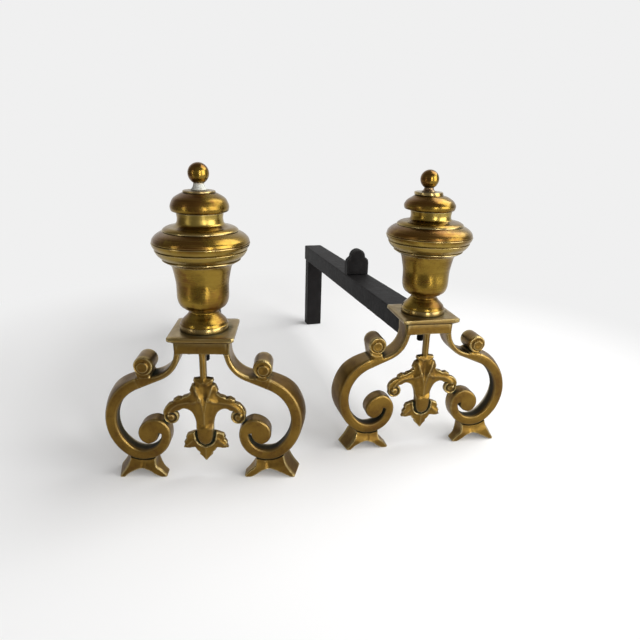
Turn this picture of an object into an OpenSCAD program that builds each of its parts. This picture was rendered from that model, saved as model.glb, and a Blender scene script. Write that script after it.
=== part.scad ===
// Pair of andirons: a hollow cast urn on a square plinth, carried by two scrolled legs
// with a leaf drop between them, and an iron log bar with a rear leg and a log stop.
// Millimetres. X to the right, Y to the back, Z up, the floor at Z = 0.
// Each andiron is drawn about its own tie rod axis and then placed.

/* [Pair layout] */
// distance between the two tie rods, left to right
pair_gap = 260.3; // [230:0.1:500]
// how far the right andiron stands behind the left one
pair_set_back = 73.2; // [0:0.1:150]
// turn of the right andiron
right_turn = 8.9; // [-20:0.1:20]
// turn of the left log bar on its tie rod
left_bar_turn = 9; // [-10:0.5:10]
// turn of the right log bar on its tie rod
right_bar_turn = 6; // [-10:0.5:10]

/* [Plinth and apron] */
// height of the apron's lower edge above the floor
leg_h = 152; // [148:0.5:156]
// height of the apron
apron_h = 13; // [10:0.5:18]
// width of the apron
apron_w = 57; // [54:0.5:62]
// wall of the apron
apron_wall = 4; // [3:0.25:5]
// depth of the apron and of the leg castings, front to back
leg_d = 28; // [24:0.5:32]
// width of the square plinth plate
plate_w = 71; // [66:0.5:80]
// thickness of the plinth plate
plate_t = 7.5; // [6:0.25:10]
// height of the sloped moulding under the plate's edge
plate_mould = 3.2; // [1.5:0.1:4]
// how far that moulding runs in under the plate
plate_mould_in = 4.6; // [2:0.1:6]

/* [Urn] */
// height of the urn's foot
foot_h = 22.5; // [20:0.5:26]
// radius of the urn's foot
foot_r = 27; // [25:0.25:30]
// radius of the waist above the foot
waist_r = 15.7; // [13:0.1:18]
// height of the bowl
bowl_h = 51.5; // [46:0.5:58]
// radius of the bowl at its middle
bowl_r = 28.3; // [26:0.1:31]
// height of the belly
belly_h = 34.5; // [31:0.5:38]
// radius of the belly
belly_r = 51.9; // [50:0.1:54]
// height of the lid
lid_h = 19; // [17:0.5:22]
// radius of the lid's neck
neck_r = 24; // [22.5:0.1:26]
// height of the dome cap
dome_h = 20; // [18:0.5:23]
// radius of the dome cap
dome_r = 30.5; // [29:0.1:33]
// height of the right andiron's lid, which is shorter
right_lid_h = 16; // [15:0.5:20]
// height of the right andiron's dome cap
right_dome_h = 17.5; // [16.5:0.5:21]
// thickness of the castings' walls
urn_wall = 3.5; // [2.5:0.1:4]

/* [Finial] */
// radius of the cap washer
cap_r = 16.9; // [14:0.1:20]
// thickness of the cap washer
cap_t = 2.5; // [1.5:0.1:4]
// radius of the finial's ball
ball_r = 10.9; // [9:0.1:13]
// height of the ball's centre above the cap washer
ball_rise = 17; // [14:0.1:20]
// height of the right andiron's ball above its cap washer
right_ball_rise = 13.5; // [13:0.1:18]
// radius of the finial's collar
collar_r = 5.5; // [5:0.1:6.5]

/* [Tie rod and nut] */
// diameter of the tie rod
rod_d = 9; // [7:0.25:10]
// diameter of the rod's thinner top end, inside the finial
stud_d = 6; // [4:0.25:6.5]
// length of rod that shows below the nut
rod_tail = 8.5; // [3:0.5:12]
// thickness of the washer under the bar's tongue
washer_t = 2; // [1:0.25:3]
// diameter of that washer
washer_d = 19; // [16:0.5:22]
// width of the nut across its flats
nut_af = 14; // [13:0.5:16]
// height of the nut
nut_h = 8; // [5:0.5:10]

/* [Leg scrolls] */
// distance of the large scroll's centre from the tie rod
scroll_x = 54.7; // [53:0.1:58]
// height of the large scroll's centre
scroll_z = 70; // [68.5:0.1:71.5]
// radius of the large scroll, at the middle of its band
scroll_r = 48.9; // [48:0.1:50]
// width of the band's front at the outside of the scroll
band_w = 12.6; // [11:0.1:14]
// how far the band's back stands out beyond its front there
flank = 4.9; // [2:0.1:6]
// how far forward the volute's back lies
volute_back = 10; // [4:0.5:12]
// width of the band where it turns into the volute
band_w_in = 11.6; // [10:0.1:13]
// radius of the band's lower turn
turn_r = 26; // [25:0.1:27]
// radius of the band over the volute
volute_r = 14.2; // [13.5:0.1:15]
// radius of the volute's round head
head_r = 11; // [10:0.1:11.8]
// thickness of the upper strap
strap_w = 6.4; // [5:0.1:8]
// radius of the roll on the strap
roll_r = 10.8; // [9:0.1:11.5]
// radius of the raised eye at the roll's end
eye_r = 6.5; // [4:0.1:7.5]
// how far the eye stands out
eye_out = 1.6; // [0.8:0.1:3]
// gap in the seam between a leg's foot and its scroll
seam = 0.25; // [0.2:0.05:0.4]

/* [Feet] */
// distance of the outer toe from the tie rod, on the right-hand legs
toe_out = 102.5; // [100:0.5:106]
// the same on the left-hand legs
toe_out_left = 98; // [96:0.5:103]
// distance of the inner toe from the tie rod
toe_in = 44.5; // [43:0.5:48]
// height of the arch under a foot
arch_h = 10.5; // [6:0.5:12]
// how far a foot's front stands out ahead of the scroll's
foot_front = 3; // [0.5:0.5:4]
// how far forward of the plinth's middle a foot's back lies
foot_back = 4; // [2:0.5:8]
// how far a foot's back stands out beyond its outer toe
foot_flare = 5.4; // [2:0.2:8]
// depth of that flared part
foot_wing_d = 11; // [6:0.5:16]

/* [Leaf drop] */
// width of the stem that carries the leaf
stem_w = 7.4; // [6:0.2:10]
// height of the leaf's shoulders above the floor
leaf_top = 121; // [119:0.5:124]
// the same on the right andiron
right_leaf_top = 121.5; // [119:0.5:124]
// thickness of the leaf casting
leaf_t = 8; // [6:0.25:12]
// how far the leaf's middle lobe stands out in front
lobe_out = 2.4; // [1:0.1:3]
// half width of the middle lobe
lobe_w = 9.3; // [8:0.1:10]
// height of the leaf's lowest point above the floor
leaf_tip = 17.5; // [15:0.5:20]
// the same on the right andiron, whose leaf ends higher
right_leaf_tip = 21.5; // [19:0.5:23]
// height of the small curls' centres above the floor
curl_z = 73.4; // [73.2:0.1:75]
// the same on the right andiron
right_curl_z = 75.5; // [74:0.1:77]
// radius of the leaf's small curls
curl_r = 8.6; // [8:0.1:8.8]

/* [Log bar] */
// length of the log bar behind the tie rod
bar_l = 490; // [400:1:560]
// width of the bar at the plinth
bar_w = 42; // [36:0.5:46]
// width of the bar at its rear end
bar_w_end = 34; // [30:0.5:42]
// height of the bar
bar_h = 28.5; // [22:0.5:34]
// start of the bar's full height behind the tie rod
bar_front = 11; // [10.5:0.25:16]
// width of the tongue under the plate
tongue_w = 36; // [30:0.5:38]
// length of the tongue in front of the tie rod
tongue_l = 19.5; // [12:0.5:20]
// thickness of the tongue
tongue_t = 12.5; // [8:0.5:12.5]
// width of the rear leg
rear_w = 30; // [24:0.5:34]
// thickness of the rear leg
rear_t = 22; // [16:0.5:28]
// distance of the log stop from the tie rod
stop_y = 236; // [120:1:360]
// width of the log stop
stop_w = 37; // [32:0.5:38]
// thickness of the log stop
stop_t = 14; // [10:0.5:20]
// height of the log stop's shoulders above the bar
stop_h = 27; // [20:0.5:34]
// radius of the log stop's knob
knob_r = 12; // [9:0.25:14]

/* [Hidden] */
$fn = 96;
// clearance of the tie rod in its holes, on the radius
rod_fit = 0.3;
rod_r = rod_d / 2;
bore_r = rod_r + rod_fit;
stud_r = stud_d / 2;
// levels, from the floor up
apron_top = leg_h + apron_h;
plate_top = apron_top + plate_t;
foot_top = plate_top + foot_h;
bowl_top = foot_top + bowl_h;
belly_top = bowl_top + belly_h;
lid_top = belly_top + lid_h;
dome_top = lid_top + dome_h;
cap_top = dome_top + cap_t;
right_lid_top = belly_top + right_lid_h;
right_dome_top = right_lid_top + right_dome_h;
right_cap_top = right_dome_top + cap_t;
tongue_low = apron_top - tongue_t;
nut_top = tongue_low - washer_t;
bar_low = apron_top - bar_h;
// the leg's three arcs share their tangents where they meet
turn_at = -48;
c1 = [scroll_x, scroll_z];
c2 = c1 + (scroll_r - turn_r) * dir(turn_at);
c3 = c2 - [turn_r - volute_r, 0];
// the lap where strap and scroll meet, as an angle round the large scroll
lap_at = 72;
lap_in = c1 + (scroll_r - band_w / 2) * dir(lap_at);
lap_out = c1 + (scroll_r + band_w / 2) * dir(lap_at);
// the strap's arc and its roll follow the apron and the lap
strap_c = [apron_w / 2 + 32, leg_h + 2];
strap_r = 33.8;
roll_c = lap_out + [2.9 - roll_r, 14.4];
// the middle of the box that holds the whole pair
reach = scroll_x + scroll_r + band_w / 2 + flank;
frame_x = (pair_gap + reach * cos(right_turn) + 2.5 * sin(right_turn) - reach) / 2;
bar_yaw = right_turn + right_bar_turn;
frame_y = (pair_set_back + bar_l * cos(bar_yaw) + bar_w_end / 2 * sin(bar_yaw) - belly_r) / 2;

// ---- helpers ----
function dir(a) = [cos(a), sin(a)];
function arc(c, r, a, b, n) = [for (i = [0:n]) c + r * dir(a + (b - a) * i / n)];
function flip(p) = [for (i = [len(p) - 1:-1:0]) [-p[i][0], p[i][1]]];
// a smooth curve through a few points, m steps between two of them
function bend(p, m) = concat(
    [for (i = [0:len(p) - 2]) for (j = [0:m - 1]) knot(p[max(i - 1, 0)], p[i], p[i + 1],
        p[min(i + 2, len(p) - 1)], j / m)],
    [p[len(p) - 1]]);
function knot(a, b, c, d, t) = 0.5 * (2 * b + (c - a) * t + (2 * a - 5 * b + 4 * c - d) * t * t
    + (3 * b - a - 3 * c + d) * t * t * t);

module at_left() {
    translate([-frame_x, -frame_y, 0]) children();
}
module at_right() {
    translate([pair_gap - frame_x, pair_set_back - frame_y, 0]) rotate([0, 0, right_turn]) children();
}
// a drawing in X and Z, made solid from y0 forward by t
module upright(t, y0 = 0) {
    translate([0, y0, 0]) rotate([90, 0, 0]) linear_extrude(t) children();
}
module turned(p) {
    rotate_extrude() polygon(p);
}

// ---- urn, from the top down ----
module finial_ball(low, rise) {
    neck = asin(collar_r / ball_r);
    collar_h = rise - 10;
    color("goldenrod") translate([0, 0, low]) difference() {
        turned(concat([[0, 0], [8, 0], [8, 0.1 * collar_h]],
            bend([[7.5, 0.25 * collar_h], [6.6, 0.45 * collar_h], [collar_r + 0.3, 0.75 * collar_h],
                [collar_r, collar_h]], 3),
            arc([0, rise], ball_r, neck - 90, 90, 22)));
        translate([0, 0, -1]) cylinder(r = stud_r + rod_fit, h = 13);
    }
}
module cap_washer(low) {
    color("goldenrod") translate([0, 0, low])
        turned([[bore_r, 0], [cap_r - 0.5, 0], [cap_r, 0.6], [cap_r, cap_t - 0.9], [cap_r - 0.9, cap_t],
            [bore_r, cap_t]]);
}
module dome_cap(low, h) {
    wall_r = dome_r - urn_wall;
    outer = bend([[neck_r + 1.2, 0], [dome_r - 2.6, 1.7], [dome_r - 0.6, 3.8], [dome_r, 6],
        [dome_r - 1.2, h / 2], [dome_r - 4, h - 5], [dome_r - 10.4, h - 1], [17.6, h]], 3);
    inner = bend([[13, h - 3.3], [wall_r - 5.5, h - 5.4], [wall_r - 1, h - 9.6],
        [wall_r - 0.6, 5.5], [neck_r - 0.8, 2.2]], 2);
    color("goldenrod") translate([0, 0, low])
        turned(concat(outer, [[bore_r, h], [bore_r, h - 3.3]], inner, [[neck_r - 3, 0]]));
}
module urn_lid(h) {
    outer = concat([[39.2, 0], [39.9, 0.8], [38.7, 2.6]],
        bend([[35.3, 4.4], [29.5, 5.7], [neck_r + 1.3, h * 0.42], [neck_r, h - 6], [neck_r + 0.8, h]], 4));
    inner = bend([[neck_r - 3, h], [neck_r - urn_wall, h - 6], [neck_r - 2.2, h * 0.37], [30, 2.6],
        [36, 0]], 3);
    color("goldenrod") translate([0, 0, belly_top]) turned(concat(outer, inner));
}
module belly_ring() {
    outer = concat(bend([[33.6, 0], [37, 1.6], [belly_r - 10.3, 4.4]], 3), [[belly_r - 10.7, 5.1]],
        bend([[belly_r - 9.3, 6.2], [belly_r - 5.7, 10], [belly_r - 3, 14.4]], 3), [[belly_r - 3.5, 15.2]],
        bend([[belly_r - 2.3, 16.6], [belly_r - 0.8, 19.4], [belly_r - 0.1, 21.8]], 2),
        [[belly_r, 22.3], [belly_r - 0.7, 23]],
        bend([[belly_r - 0.5, 24], [belly_r - 1.8, 27.4], [belly_r - 6, 31.4], [40, belly_h]], 4));
    inner = bend([[36, belly_h], [belly_r - 9.9, 30.6], [belly_r - 5.2, 24], [belly_r - 4.6, 19.5],
        [belly_r - 9.3, 11.4],
        [33, 4.2], [30, 0]], 3);
    color("goldenrod") translate([0, 0, bowl_top]) turned(concat(outer, inner));
}
module urn_bowl() {
    outer = concat([[waist_r + 1, 0], [waist_r + 1.3, 0.9], [20.6, 1.9], [21.2, 2.8]],
        bend([[24.6, 5], [27, 9.4], [bowl_r - 0.2, 16], [bowl_r, 29.5], [bowl_r + 1.3, 38],
            [bowl_r + 3.3, bowl_h - 4], [33.6, bowl_h]], 4));
    inner = bend([[30, bowl_h], [bowl_r - 0.4, bowl_h - 6], [bowl_r - urn_wall, 29],
        [bowl_r - urn_wall - 0.3, 16], [20, 7], [11, 4.4]], 3);
    color("goldenrod") translate([0, 0, foot_top])
        turned(concat(outer, inner, [[bore_r, 4.4], [bore_r, 0]]));
}
module urn_foot() {
    outer = concat([[foot_r - 0.3, 0], [foot_r, 0.8], [foot_r - 0.1, 4], [foot_r - 0.8, 4.8]],
        bend([[foot_r - 0.4, 6.4], [25.4, 11.6], [21.2, 15.6], [waist_r + 0.8, 18.7], [waist_r, 20.3],
            [waist_r + 0.7, foot_h]], 4));
    inner = bend([[10, foot_h - 4], [16, foot_h - 7.4], [20.6, 10.6], [foot_r - 5, 5], [foot_r - 4.6, 0]], 2);
    color("goldenrod") translate([0, 0, plate_top])
        turned(concat(outer, [[bore_r, foot_h], [bore_r, foot_h - 4]], inner));
}

// ---- plinth ----
module plinth_plate() {
    half = plate_w / 2;
    color("goldenrod") translate([0, 0, apron_top]) difference() {
        union() {
            translate([-half, -half, plate_mould]) cube([plate_w, plate_w, plate_t - plate_mould]);
            rotate([0, 0, 45]) cylinder(r1 = (half - plate_mould_in) * sqrt(2), r2 = half * sqrt(2),
                h = plate_mould, $fn = 4);
        }
        translate([0, 0, -1]) cylinder(r = bore_r, h = plate_t + 2);
    }
}
// a front wall with a cheek at each end; the bar's tongue lies between the cheeks
module apron() {
    inner_w = apron_w - 2 * apron_wall;
    color("goldenrod") difference() {
        translate([-apron_w / 2, -leg_d, leg_h]) cube([apron_w, leg_d, apron_h]);
        translate([-inner_w / 2, apron_wall - leg_d, leg_h - 1]) cube([inner_w, leg_d, apron_h + 2]);
    }
}

// ---- leg castings, drawn for +X ----
// strap: down the apron's side, round an arc and straight on to the lap, with a roll on its back
module strap() {
    low_r = strap_r + strap_w / 2;
    top_r = strap_r - strap_w / 2;
    corner = apron_w / 2;
    outline = concat(
        [[corner - 8, leg_h], [corner - 5.6, leg_h - 1.1]],
        arc(strap_c, low_r, 190, 246, 12),
        [lap_in, lap_out, [roll_c[0] + roll_r - 0.4, roll_c[1] - 2], [roll_c[0], roll_c[1]],
            [roll_c[0] - 4.5, roll_c[1] - 7]],
        arc(strap_c, top_r, 262, 178, 16),
        [[corner + 2.1, apron_top], [corner, apron_top], [corner, leg_h]]);
    color("goldenrod") union() {
        upright(leg_d) polygon(outline);
        translate([roll_c[0], 0, roll_c[1]]) rotate([90, 0, 0]) cylinder(r = roll_r, h = leg_d - eye_out);
        translate([roll_c[0], 0, roll_c[1]]) rotate([90, 0, 0]) cylinder(r = eye_r, h = leg_d);
    }
}
// edges of the scroll's band as matching points: large arc, lower turn, volute, head
function width_at(u) = band_w + (band_w_in - band_w) * u;
function ramp(u) = u < 0 ? 0 : u > 1 ? 1 : u * u * (3 - 2 * u);
steps1 = 22;
steps2 = 18;
steps3 = 12;
steps4 = 20;
head_c = c3 + [5.4, 3.3];
outer_edge = concat(
    [for (i = [0:steps1]) c1 + (scroll_r + band_w / 2) * dir(lap_at + (turn_at - lap_at) * i / steps1)],
    [for (i = [1:steps2]) c2 + (turn_r + width_at(i / steps2) / 2) * dir(turn_at - (180 + turn_at) * i / steps2)],
    [for (i = [1:steps3]) c3 + (volute_r + band_w_in / 2) * dir(180 - 80 * i / steps3)],
    [for (i = [1:steps4]) c3 + (volute_r + band_w_in / 2 - 10 * i / steps4) * dir(100 - 170 * i / steps4)]);
inner_edge = concat(
    [for (i = [0:steps1]) c1 + (scroll_r - band_w / 2) * dir(lap_at + (turn_at - lap_at) * i / steps1)],
    [for (i = [1:steps2]) c2 + (turn_r - width_at(i / steps2) / 2) * dir(turn_at - (180 + turn_at) * i / steps2)],
    [for (i = [1:steps3]) c3 + (volute_r - band_w_in / 2) * dir(180 - 36 * i / steps3)],
    [for (i = [1:steps4]) head_c + head_r * dir(172 + 64 * i / steps4)]);
// how far the back's outer flank stands out, and how far the back lies forward of the plinth's middle
function flank_at(k) = flank * ramp(k / 7) * ramp((steps1 - k) / 10);
function back_at(k) = volute_back * ramp((k - steps1 + 6) / (steps2 + 6));
// one section of the band: share of its width, share of the flank, depth ahead of the back plane
function section(k) = let (b = back_at(k)) [[0.62 - 0.56 * b / volute_back, 0, b], [0.95, 0.95, b],
    [1, 1, b + 2.5], [1, 0.7, 14], [1, 0.2, leg_d - 4], [0.86, 0, leg_d - 0.8], [0.5, 0, leg_d],
    [0.14, 0, leg_d - 0.6], [0, 0, leg_d - 3.2], [0, 0, max(14, b + 2)]];
module scroll() {
    m = len(section(0));
    n = len(outer_edge);
    points = [for (k = [0:n - 1]) for (s = section(k))
        let (a = inner_edge[k], w = outer_edge[k] - a, q = a + w * (s[0] + s[1] * flank_at(k) / norm(w)))
        [q[0], -s[2], q[1]]];
    sides = [for (k = [0:n - 2]) for (j = [0:m - 1]) for (h = [0:1])
        h == 0 ? [k * m + j, (k + 1) * m + j, (k + 1) * m + (j + 1) % m]
            : [k * m + j, (k + 1) * m + (j + 1) % m, k * m + (j + 1) % m]];
    first = [for (j = [1:m - 2]) [0, j, j + 1]];
    last = [for (j = [1:m - 2]) [(n - 1) * m, (n - 1) * m + j + 1, (n - 1) * m + j]];
    color("goldenrod") polyhedron(points, concat(sides, first, last));
}
// fishtail foot, cut to the scroll's lower turn; its outer side leans out towards the back
// (out: distance of its outer toe from the tie rod)
module foot(out) {
    seat_r = turn_r + band_w / 2 + seam;
    outline = concat(
        bend([[out - 13.4, 28], [out - 11, 19], [out - 6.6, 11], [out - 2.6, 5.4]], 3),
        [[out, 1.2], [out - 0.8, 0]],
        bend([[out - 5, 0], [c2[0] + 15, arch_h * 0.62], [c2[0] + 4.4, arch_h],
            [c2[0] - 5, arch_h * 0.66], [toe_in + 11, 0]], 4),
        [[toe_in + 0.6, 0], [toe_in, 1.2]],
        bend([[toe_in + 1, 3.4], [toe_in + 5.6, 8.4], [c2[0] - 13.4, 15], [c2[0] - 12.6, 26]], 3));
    wing = concat(bend([[out - 20.5, 28], [out - 10.5, 24], [out - 1.5, 12], [out + 3.4, 5.4]], 3),
        [[out + foot_flare, 1.2], [out + foot_flare - 0.8, 0], [out - 5, 0], [out - 18, 10]]);
    color("goldenrod") difference() {
        union() {
            upright(leg_d + foot_front - foot_back, -foot_back) polygon(outline);
            upright(foot_wing_d, -foot_back) polygon(wing);
        }
        translate([c2[0], 1, c2[1]]) rotate([90, 0, 0]) cylinder(r = seat_r, h = leg_d + foot_front + 2);
    }
}

// ---- leaf drop ----
leaf_front = leg_d - lobe_out;
leaf_back = leaf_front - leaf_t;
module leaf_drop(top, tip, curls) {
    half = stem_w / 2;
    curl = [37.6, curls];
    side = concat(
        [[half + 2.6, leg_h], [half + 0.5, leg_h - 2.2], [half, leg_h - 6], [half, top + 1]],
        [[10.6, top], [11.4, top - 3.2], [9.8, top - 5.6], [13.2, top - 7.4], [14.8, top - 11]],
        [[16, top - 14.6], [14.8, top - 17], [17.6, top - 19.8], [23, top - 21.4], [24.4, top - 23]],
        [[29.4, top - 22.6], [34.2, top - 25.6], [34.6, top - 28.6]],
        bend([[39.6, top - 30.6], [44, curls + 11.6], [46.4, curls + 6.2],
            [curl[0] + curl_r - 0.4, curls]], 3),
        arc(curl, curl_r, -12, -236, 14),
        bend([[28.5, curls + 7.8], [24, curls + 10.2], [19, curls + 9.4], [14.4, curls + 5.8],
            [11.4, curls - 1], [9.8, curls - 9], [lobe_w + 0.2, tip + 38.4]], 3));
    low = concat([[14, tip + 37.4], [20.8, tip + 34.6], [22.6, tip + 30.4], [21.8, tip + 28.4]],
        [[24.8, tip + 24], [24.2, tip + 21.6], [25.8, tip + 17], [19.6, tip + 16], [12.8, tip + 17.2]],
        [[10.4, tip + 13.2], [7.6, tip + 11], [7.4, tip + 8], [3.2, tip + 3.8], [0, tip]]);
    lobe = concat([[3, top - 3], [8.6, top - 10], [11.2, top - 24], [9.6, top - 40], [8.4, top - 54]],
        bend([[lobe_w, tip + 38], [lobe_w - 0.6, tip + 30], [lobe_w - 3.4, tip + 23.8], [0, tip + 21]], 3));
    half_leaf = concat(side, low);
    color("goldenrod") union() {
        upright(leaf_t, -leaf_back) polygon(concat(half_leaf, flip(half_leaf)));
        upright(lobe_out + 1, 1 - leaf_front) polygon(concat(lobe, flip(lobe)));
    }
}

// ---- tie rod, washer and nut ----
module tie_rod(top) {
    color("dimgray") union() {
        translate([0, 0, nut_top - nut_h - rod_tail])
            cylinder(r = rod_r, h = top - 0.4 - nut_top + nut_h + rod_tail);
        translate([0, 0, top - 1]) cylinder(r = stud_r, h = 12.4);
    }
}
module tie_washer() {
    color("dimgray") translate([0, 0, nut_top]) difference() {
        cylinder(r = washer_d / 2, h = washer_t);
        translate([0, 0, -1]) cylinder(r = bore_r, h = washer_t + 2);
    }
}
module tie_nut() {
    color("dimgray") translate([0, 0, nut_top - nut_h]) difference() {
        cylinder(r = nut_af / 2 / cos(30), h = nut_h, $fn = 6);
        translate([0, 0, -1]) cylinder(r = bore_r, h = nut_h + 2);
    }
}

// ---- log bar, turned about the tie rod ----
module log_bar() {
    color("dimgray") difference() {
        union() {
            translate([0, 0, bar_low]) linear_extrude(bar_h)
                polygon([[-bar_w / 2, bar_front], [bar_w / 2, bar_front], [bar_w_end / 2, bar_l],
                    [-bar_w_end / 2, bar_l]]);
            translate([-tongue_w / 2, -tongue_l, tongue_low])
                cube([tongue_w, tongue_l + bar_front + 2, tongue_t]);
        }
        translate([0, 0, tongue_low - 1]) cylinder(r = bore_r, h = tongue_t + 2);
    }
}
module rear_leg() {
    color("dimgray") translate([-rear_w / 2, bar_l - rear_t, 0]) cube([rear_w, rear_t, bar_low]);
}
// an upright plate with shoulders and a round knob
module log_stop() {
    half = stop_w / 2;
    side = concat([[half, 0], [half, stop_h - 8]],
        bend([[half - 1, stop_h - 3], [half - 4, stop_h], [knob_r + 0.6, stop_h + 1.2]], 3),
        arc([0, stop_h + 2.4], knob_r, 0, 88, 10));
    color("dimgray") translate([0, stop_y + stop_t / 2, apron_top]) upright(stop_t)
        polygon(concat(side, flip(side)));
}

// ---- the left andiron ----
module left_finial_ball() { at_left() finial_ball(cap_top, ball_rise); }
module left_cap_washer() { at_left() cap_washer(dome_top); }
module left_dome_cap() { at_left() dome_cap(lid_top, dome_h); }
module left_urn_lid() { at_left() urn_lid(lid_h); }
module left_belly_ring() { at_left() belly_ring(); }
module left_urn_bowl() { at_left() urn_bowl(); }
module left_urn_foot() { at_left() urn_foot(); }
module left_plinth_plate() { at_left() plinth_plate(); }
module left_apron() { at_left() apron(); }
module left_strap_outer() { at_left() mirror([1, 0, 0]) strap(); }
module left_strap_inner() { at_left() strap(); }
module left_scroll_outer() { at_left() mirror([1, 0, 0]) scroll(); }
module left_scroll_inner() { at_left() scroll(); }
module left_foot_outer() { at_left() mirror([1, 0, 0]) foot(toe_out_left); }
module left_foot_inner() { at_left() foot(toe_out); }
module left_leaf_drop() { at_left() leaf_drop(leaf_top, leaf_tip, curl_z); }
module left_tie_rod() { at_left() tie_rod(cap_top); }
module left_tie_washer() { at_left() tie_washer(); }
module left_tie_nut() { at_left() tie_nut(); }
module left_log_bar() { at_left() rotate([0, 0, left_bar_turn]) log_bar(); }
module left_rear_leg() { at_left() rotate([0, 0, left_bar_turn]) rear_leg(); }
module left_log_stop() { at_left() rotate([0, 0, left_bar_turn]) log_stop(); }

// ---- the right andiron ----
module right_finial_ball() { at_right() finial_ball(right_cap_top, right_ball_rise); }
module right_cap_washer() { at_right() cap_washer(right_dome_top); }
module right_dome_cap() { at_right() dome_cap(right_lid_top, right_dome_h); }
module right_urn_lid() { at_right() urn_lid(right_lid_h); }
module right_belly_ring() { at_right() belly_ring(); }
module right_urn_bowl() { at_right() urn_bowl(); }
module right_urn_foot() { at_right() urn_foot(); }
module right_plinth_plate() { at_right() plinth_plate(); }
module right_apron() { at_right() apron(); }
module right_strap_outer() { at_right() strap(); }
module right_strap_inner() { at_right() mirror([1, 0, 0]) strap(); }
module right_scroll_outer() { at_right() scroll(); }
module right_scroll_inner() { at_right() mirror([1, 0, 0]) scroll(); }
module right_foot_outer() { at_right() foot(toe_out); }
module right_foot_inner() { at_right() mirror([1, 0, 0]) foot(toe_out_left); }
module right_leaf_drop() { at_right() leaf_drop(right_leaf_top, right_leaf_tip, right_curl_z); }
module right_tie_rod() { at_right() tie_rod(right_cap_top); }
module right_tie_washer() { at_right() tie_washer(); }
module right_tie_nut() { at_right() tie_nut(); }
module right_log_bar() { at_right() rotate([0, 0, right_bar_turn]) log_bar(); }
module right_rear_leg() { at_right() rotate([0, 0, right_bar_turn]) rear_leg(); }
module right_log_stop() { at_right() rotate([0, 0, right_bar_turn]) log_stop(); }

left_finial_ball();
left_cap_washer();
left_dome_cap();
left_urn_lid();
left_belly_ring();
left_urn_bowl();
left_urn_foot();
left_plinth_plate();
left_apron();
left_strap_outer();
left_strap_inner();
left_scroll_outer();
left_scroll_inner();
left_foot_outer();
left_foot_inner();
left_leaf_drop();
left_tie_rod();
left_tie_washer();
left_tie_nut();
left_log_bar();
left_rear_leg();
left_log_stop();
right_finial_ball();
right_cap_washer();
right_dome_cap();
right_urn_lid();
right_belly_ring();
right_urn_bowl();
right_urn_foot();
right_plinth_plate();
right_apron();
right_strap_outer();
right_strap_inner();
right_scroll_outer();
right_scroll_inner();
right_foot_outer();
right_foot_inner();
right_leaf_drop();
right_tie_rod();
right_tie_washer();
right_tie_nut();
right_log_bar();
right_rear_leg();
right_log_stop();
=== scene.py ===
# A pair of old brass andirons with iron log bars: each has a turned urn on a square plinth,
# two scrolled legs, and a leaf drop between them. Sizes are in millimetres and are made metres
# as each mesh is written. Each andiron is drawn about its own tie rod and then placed.
from math import asin, cos, degrees, hypot, pi, radians, sin

import bmesh
import bpy
import numpy as np
from mathutils import Matrix, Vector, noise
from mathutils.bvhtree import BVHTree
from mathutils.geometry import delaunay_2d_cdt


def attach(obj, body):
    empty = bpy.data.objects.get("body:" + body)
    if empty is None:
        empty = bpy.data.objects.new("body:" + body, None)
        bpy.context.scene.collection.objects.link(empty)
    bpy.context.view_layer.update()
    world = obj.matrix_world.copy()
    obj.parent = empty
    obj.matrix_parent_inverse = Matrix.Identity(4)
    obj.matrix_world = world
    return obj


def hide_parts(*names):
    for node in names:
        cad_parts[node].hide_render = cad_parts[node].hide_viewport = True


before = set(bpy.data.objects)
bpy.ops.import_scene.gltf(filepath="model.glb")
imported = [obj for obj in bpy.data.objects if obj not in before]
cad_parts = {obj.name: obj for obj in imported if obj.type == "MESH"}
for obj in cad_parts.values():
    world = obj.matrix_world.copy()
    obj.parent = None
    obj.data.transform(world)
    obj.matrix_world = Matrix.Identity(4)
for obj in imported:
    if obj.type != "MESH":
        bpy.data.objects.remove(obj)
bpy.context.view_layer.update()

# ---- sizes: the part's own, and the small differences between the two andirons ----
PAIR_GAP, PAIR_SET_BACK, RIGHT_TURN = 260.3, 73.2, 8.9
BAR_TURN = {"left": 9.0, "right": 6.0}
LEG_H, APRON_H, APRON_W, APRON_WALL, LEG_D = 152.0, 13.0, 57.0, 4.0, 28.0
PLATE_W, PLATE_T, PLATE_MOULD, PLATE_MOULD_IN = 71.0, 7.5, 3.2, 4.6
FOOT_H, FOOT_R, WAIST_R = 22.5, 27.0, 15.7
BOWL_H, BOWL_R, BELLY_H, BELLY_R = 51.5, 28.3, 34.5, 51.9
NECK_R, DOME_R, URN_WALL = 24.0, 30.5, 3.5
CAP_R, BALL_R, COLLAR_R = 16.9, 10.9, 5.5
LID_H, DOME_H = {"left": 19.0, "right": 17.0}, {"left": 20.0, "right": 17.5}
CAP_T, BALL_RISE = {"left": 2.5, "right": 4.4}, {"left": 17.0, "right": 14.3}
LEAN, RESIDUE = {"left": 0.0, "right": -5.2}, {"left": 1.0, "right": 0.12}
ROD_D, STUD_D, ROD_TAIL, WASHER_T, WASHER_D, NUT_AF, NUT_H = 9.0, 6.0, 8.5, 2.0, 19.0, 14.0, 8.0
SCROLL_X, SCROLL_Z, SCROLL_R, BAND_W, FLANK = 54.7, 70.0, 48.9, 12.6, 4.6
VOLUTE_BACK, BAND_W_IN, TURN_R, VOLUTE_R, HEAD_R = 10.0, 11.6, 26.0, 14.2, 11.0
STRAP_W, ROLL_R, EYE_R, SEAM = 6.4, 10.8, 6.5, 0.25
TOE_OUT = {"left_outer": 98.0, "left_inner": 102.5, "right_outer": 102.5, "right_inner": 98.0}
TOE_IN, ARCH_H = 44.5, 10.5
FOOT_FRONT, FOOT_BACK, FOOT_FLARE, TOE_THIN = 3.0, 4.0, 5.4, 13.0
STEM_W, LEAF_T, LOBE_OUT, LOBE_W, CURL_X, CURL_R = 7.4, 8.0, 2.4, 9.3, 37.6, 8.6
LEAF_TOP, LEAF_TIP = {"left": 121.0, "right": 121.5}, {"left": 17.5, "right": 21.5}
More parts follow.
